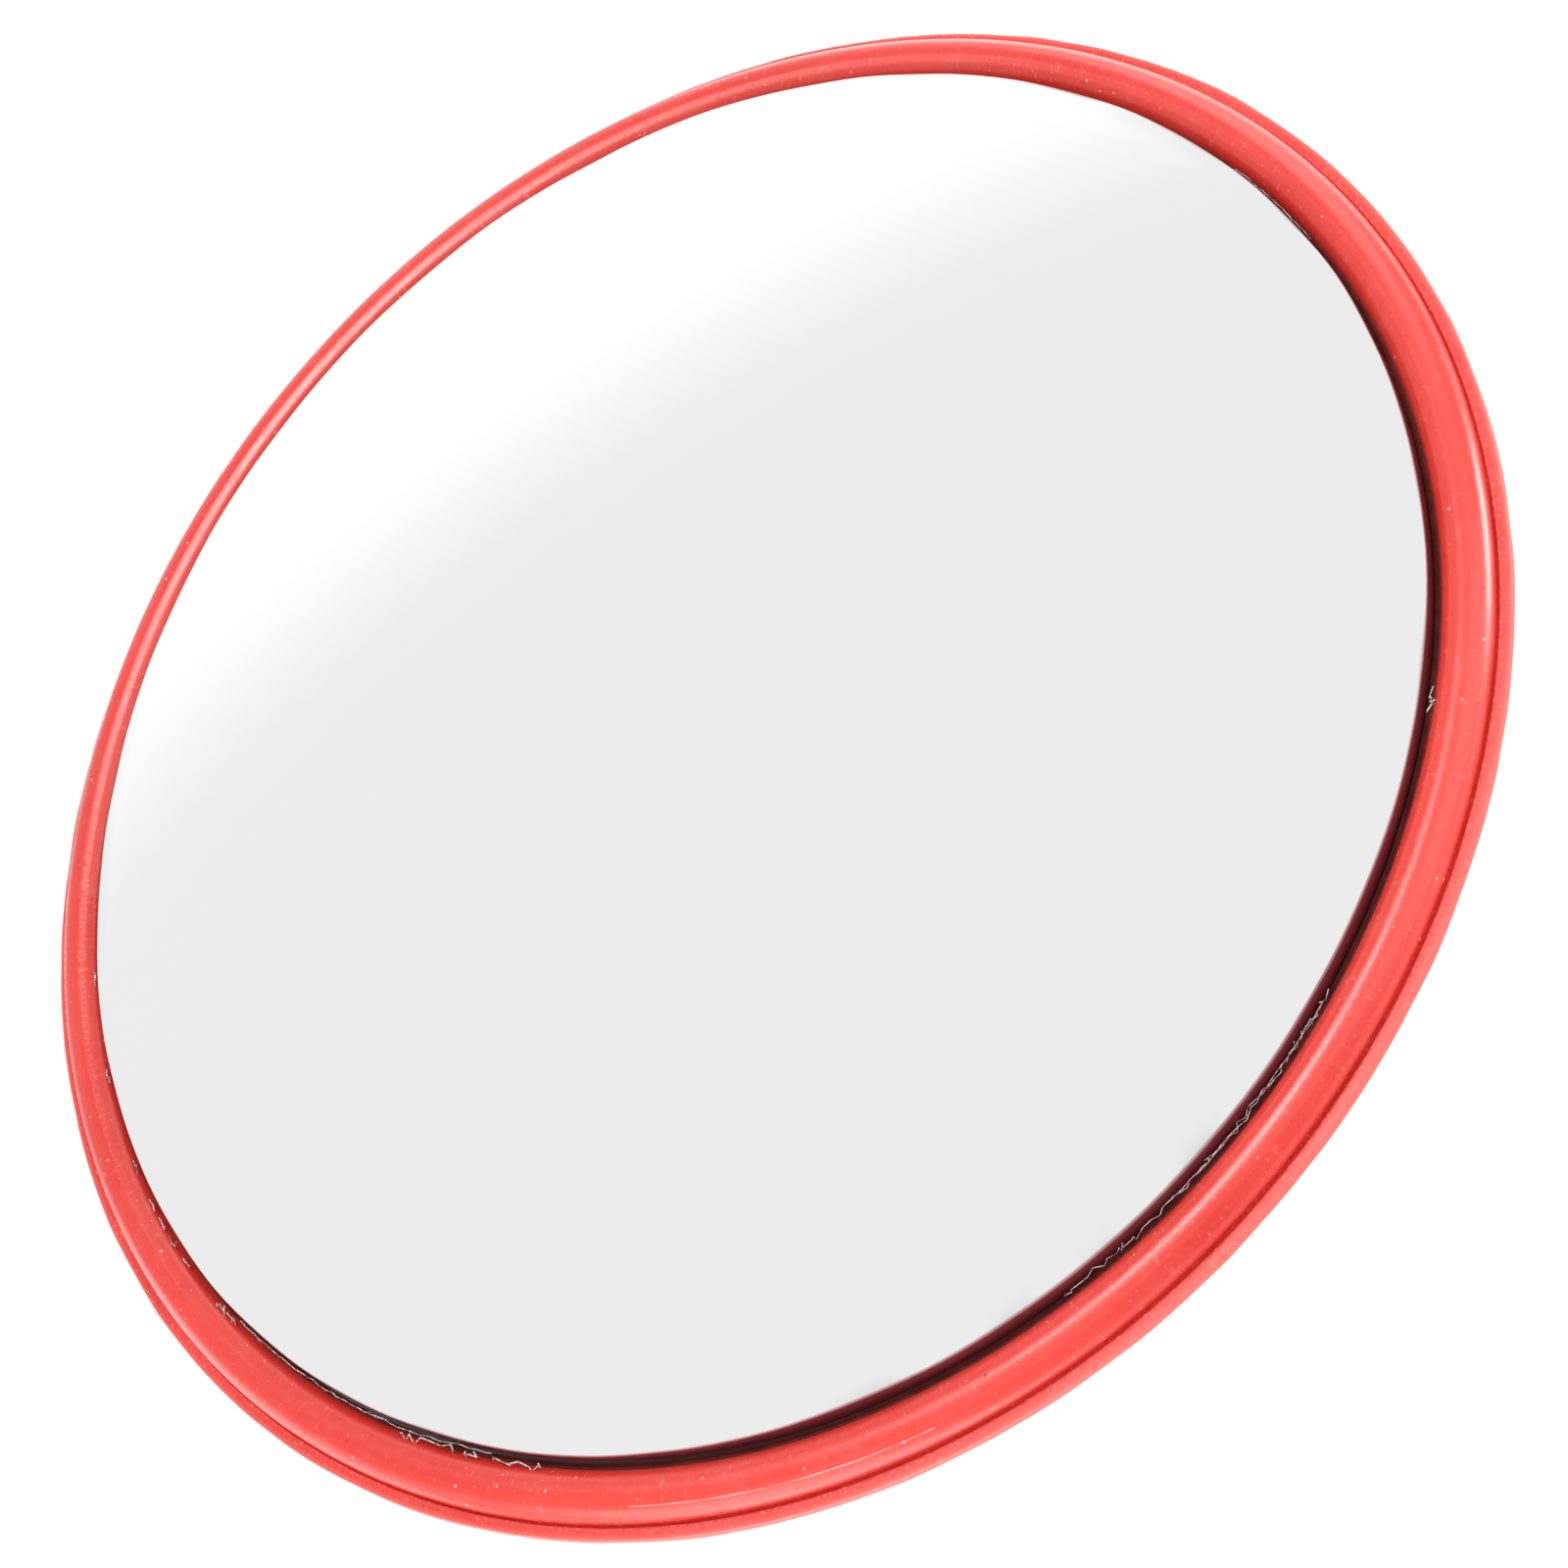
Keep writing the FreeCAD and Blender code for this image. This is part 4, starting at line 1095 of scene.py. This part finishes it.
def hexagon(name, flats, height, both_ends):
    """A six-sided bar on the origin with its top, or both ends, turned down at the corners."""
    corner = flats / math.sqrt(3)
    pick_nothing()
    bpy.ops.mesh.primitive_cylinder_add(vertices=6, radius=corner * MM, depth=height * MM,
                                        location=(0, 0, height / 2 * MM))
    bar = bpy.context.object
    bar.name = name
    bar.data.name = name
    bpy.ops.object.transform_apply(location=True)
    spots = bar.data.vertices
    pick_parts(bar, "edges", lambda e: abs(spots[e.vertices[0]].co.z - spots[e.vertices[1]].co.z) > MM)
    bpy.ops.mesh.bevel(offset=0.25 * MM, segments=2, affect="EDGES")
    bpy.ops.object.mode_set(mode="OBJECT")
    waist = corner + 0.3
    shoulder = flats / 2 * 0.97
    drop = (waist - shoulder) * math.tan(math.radians(30))
    foot = [(0, 0), (shoulder, 0), (waist, drop)] if both_ends else [(0, -1), (waist, -1)]
    blank = turned("blank", foot + [(waist, height - drop), (shoulder, height), (0, height)],
                   ORIGIN, Z_AXIS, steps=72, close=False)
    return finished(cut(bar, blank, "INTERSECT"))


def threaded_rod(size, low, high):
    """A helical thread on the Z axis between two heights, with a chamfered top."""
    radius, pitch = size["radius"], size["pitch"]
    root = radius - THREAD_DEPTH * pitch
    profile = [(root, 0), (root, 0.14), (radius, 0.44), (radius, 0.56), (root, 0.86), (root, 1.0)]
    rod = traced("thread", flat([(r, low - pitch + z * pitch) for r, z in profile], ORIGIN, X_AXIS, Z_AXIS))
    bpy.ops.object.mode_set(mode="OBJECT")
    apply_modifier(rod, "SCREW", axis="Z", angle=2 * math.pi, screw_offset=pitch * MM,
                   iterations=math.ceil((high - low) / pitch) + 2, steps=24, render_steps=24)
    finished(rod)
    for height, towards in ((high, 1), (low, -1)):
        sliced(rod, (0, 0, (height + SPARE * towards) * MM), (0, 0, towards))
    blank = turned("blank", [(0, low), (radius + 1, low), (radius + 1, high - 1.9), (root - 0.1, high),
                             (0, high)], ORIGIN, Z_AXIS, steps=48, close=False)
    return finished(cut(finished(rod), blank, "INTERSECT"))


# %% Bolts, nuts and washers
def hex_bolt(name, length, plain, start, towards):
    """An M8 bolt.  start is under its head, and its shank is plain for the given length."""
    head = placed(hexagon(name, M8["flats"], M8["head"], False), ORIGIN, -Z_AXIS)
    shank = turned("shank", [(0, -1), (3.97, -1), (3.97, plain - 0.5), (3.4, plain), (0, plain)],
                   ORIGIN, Z_AXIS, steps=48, close=False)
    cut(head, shank, "UNION")
    cut(head, threaded_rod(M8, plain - 0.6, length), "UNION")
    return finished(placed(head, start, towards))


def hex_nut(name, size, start, towards):
    """A nut that stands on start, with its bore opened out at both ends."""
    nut = hexagon(name, size["flats"], size["nut"], True)
    bore, height = size["radius"] + 0.05, size["nut"]
    section = [(0, -1), (bore + 1.5, -1), (bore, 0.5), (bore, height - 0.5), (bore + 1.5, height + 1),
               (0, height + 1)]
    cutter = turned("bore", section, ORIGIN, Z_AXIS, steps=48, close=False)
    return finished(placed(cut(nut, cutter), start, towards))


def ring_of(name, outer, inner, thickness, start, towards, edge=0.15):
    """A washer or a short tube with slightly round edges."""
    section = [(inner, edge), (inner + edge, 0), (outer - 2 * edge, 0), (outer - edge * 0.6, edge * 0.6),
               (outer, 2 * edge), (outer, thickness - 2 * edge), (outer - edge * 0.6, thickness - edge * 0.6),
               (outer - 2 * edge, thickness), (inner + edge, thickness), (inner, thickness - edge)]
    return placed(turned(name, section, ORIGIN, Z_AXIS, steps=72), start, towards)


def split_washer(name, start, towards):
    """A spring washer with its slanted cut."""
    washer = ring_of(name, 7.2, 4.3, 2.0, ORIGIN, Z_AXIS)
    pick_nothing()
    bpy.ops.mesh.primitive_cube_add(size=1, location=(6 * MM, 0, MM), rotation=(math.radians(25), 0, 0),
                                    scale=(6 * MM, 0.8 * MM, 8 * MM))
    slit = bpy.context.object
    bpy.ops.object.transform_apply(location=True, rotation=True, scale=True)
    return finished(placed(cut(washer, slit), start, towards))


def at(x, y, z):
    """A place in mm."""
    return Vector((x, y, z)) * MM


# %% Tilt bolt and its stack
UNDER_HEAD = 18.1
steel = (bright_zinc, "bright_zinc")
M8_WASHER = (8, 4.3, 1.6)
DISC = (10, BOLT_HOLE, 1.5)


def ring_pair(name, size, low, high, towards, edge=0.15):
    """Two equal rings, one on either side of what they clamp, as one piece."""
    rings = [ring_of("low", *size, low, -towards, edge), ring_of("high", *size, high, towards, edge)]
    return joined(name, rings)


bolt = hex_bolt("tilt_bolt_m8", 2 * UNDER_HEAD + 11.2, 2 * UNDER_HEAD - 2, at(-UNDER_HEAD, TILT_Y, 0), X_AXIS)
dress(bolt, "mirror_head", *steel, "tilt_bolt")
low, high = at(-CLEVIS_OUT, TILT_Y, 0), at(CLEVIS_OUT, TILT_Y, 0)
washers = ring_pair("tilt_washers_m8", M8_WASHER, low, high, X_AXIS)
dress(washers, "mirror_head", *steel, "tilt_washers")
spring = split_washer("tilt_split_washer", at(UNDER_HEAD, TILT_Y, 0), X_AXIS)
dress(spring, "mirror_head", *steel, "tilt_spring_washer")
dress(hex_nut("tilt_nut_m8", M8, at(UNDER_HEAD + 2, TILT_Y, 0), X_AXIS), "mirror_head", *steel, "tilt_nut")
low, high = at(-FORK_OUT, TILT_Y, 0), at(FORK_OUT, TILT_Y, 0)
discs = ring_pair("tilt_nylon_discs", DISC, low, high, X_AXIS, 0.25)
dress(discs, "swivel_arm", nylon, "nylon", "friction_washers")
sleeve = ring_of("tilt_sleeve_tube", 6.5, BOLT_HOLE, 18, at(-FORK_IN, TILT_Y, 0), X_AXIS, 0.3)
dress(sleeve, "swivel_arm", *sheet, "tilt_sleeve")

# %% Swivel bolt and its stack
lug_under = at(0, SWIVEL_Y, -20)
foot_top = at(0, SWIVEL_Y, FOOT_TOP)
bolt = hex_bolt("swivel_bolt_m8", 22.5, 6, at(0, SWIVEL_Y, -21.6), Z_AXIS)
dress(bolt, "pole_bracket", *steel, "swivel_bolt")
washers = ring_pair("swivel_washers_m8", M8_WASHER, lug_under, foot_top, Z_AXIS)
dress(washers, "pole_bracket", *steel, "swivel_washers")
spring = split_washer("swivel_split_washer", foot_top + at(0, 0, 1.6), Z_AXIS)
dress(spring, "pole_bracket", *steel, "swivel_spring_washer")
dress(hex_nut("swivel_nut_m8", M8, foot_top + at(0, 0, 3.6), Z_AXIS), "pole_bracket", *steel, "swivel_nut")
disc = ring_of("swivel_nylon_disc", 12, 4.3, 1.5, at(0, SWIVEL_Y, -16), Z_AXIS, 0.25)
dress(disc, "pole_bracket", nylon, "nylon", "swivel_friction_washer")

# %% Clamp fasteners
def at_both_ears(make_one, name):
    """The same fastener at both ears, the second copied from the first."""
    first = make_one(name)
    return joined(name, [first, copied(first, "other", at(2 * EAR_BOLT_X, 0, 0))])


ear_x = -EAR_BOLT_X
clamp_set = (
    ("clamp_bolts_m8", "clamp_bolts", "pole_bracket",
     lambda n: hex_bolt(n, 45, 14, at(ear_x, -8.6, 0), Y_AXIS)),
    ("clamp_head_washers_m8", "clamp_head_washers", "pole_bracket",
     lambda n: ring_of(n, *M8_WASHER, at(ear_x, -7, 0), -Y_AXIS)),
    ("clamp_washers_m8", "clamp_washers", "clamp_back",
     lambda n: ring_of(n, *M8_WASHER, at(ear_x, 7, 0), Y_AXIS)),
    ("clamp_split_washers", "clamp_spring_washers", "clamp_back",
     lambda n: split_washer(n, at(ear_x, 8.6, 0), Y_AXIS)),
    ("clamp_nuts_m8", "clamp_nuts", "clamp_back", lambda n: hex_nut(n, M8, at(ear_x, 10.6, 0), Y_AXIS)),
)
for name, node, body, make_one in clamp_set:
    dress(at_both_ears(make_one, name), body, *steel, node)

# %% Plate screws, their washers and the nuts inside
def pan_screw(name, start, towards):
    """A pan head screw with a cross recess.  start is under its head."""
    section = [(0, 3.6), (1.4, 3.56), (2.6, 3.4), (3.6, 3.0), (4.3, 2.35), (4.68, 1.5), (4.75, 0.8),
               (4.75, 0.25), (4.5, 0), (0, 0)]
    head = turned(name, section, ORIGIN, Z_AXIS, steps=64, close=False)
    arm, half = 2.2, 0.55
    cross = [(arm, half), (half, half), (half, arm), (-half, arm), (-half, half), (-arm, half), (-arm, -half),
             (-half, -half), (-half, -arm), (half, -arm), (half, -half), (arm, -half)]
    recess = extruded("recess", flat(cross, Z_AXIS * 4 * MM), Z_AXIS * -2.4 * MM)
    pick_parts(recess, "vertices", lambda v: v.co.z < 2 * MM)
    bpy.ops.transform.resize(value=(0.5, 0.5, 1), center_override=(0, 0, 0))
    cut(head, finished(recess))
    thread = placed(threaded_rod(M5, -0.5, 14), ORIGIN, -Z_AXIS)
    return finished(placed(cut(head, thread, "UNION"), start, towards))


def at_four(make_one, name, y, towards):
    """The same fastener at the four screw places, copied from the first."""
    first = make_one(name, at(0, y, 0) + SCREW_PLACES[0], towards)
    others = [copied(first, "other", place - SCREW_PLACES[0]) for place in SCREW_PLACES[1:]]
    return joined(name, [first] + others)


dress(at_four(pan_screw, "plate_screws_m5", BACK_Y + 1, Y_AXIS), "mirror_head", *steel, "plate_screws")
washers = at_four(lambda n, p, d: ring_of(n, 5, 2.8, 1.0, p, d, 0.1), "plate_washers_m5", BACK_Y, Y_AXIS)
dress(washers, "mirror_head", *steel, "plate_washers")
inner_front = 1000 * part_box("inner_plate")[0].y
nuts = at_four(lambda n, p, d: hex_nut(n, M5, p, d), "inner_nuts_m5", inner_front, -Y_AXIS)
dress(nuts, "mirror_head", *steel, "inner_nuts")

# %% [markdown]
# ## The dome takes no soft boxes
#
# Light linking excludes the dome from every soft box, so that it shows only the even sky.  The
# box under the head stands close to the floor and would streak it, so it leaves out the floor too.

# %% Light linking
for lamp in soft_boxes:
    lit = bpy.data.collections.new("lit_by_" + lamp.name)
    for number, left_out in enumerate([lens, floor] if lamp.name == "under_box" else [lens]):
        lit.objects.link(left_out)
        lit.collection_objects[number].light_linking.link_state = "EXCLUDE"
    lamp.light_linking.receiver_collection = lit
print("linked:", len(soft_boxes), "soft boxes")
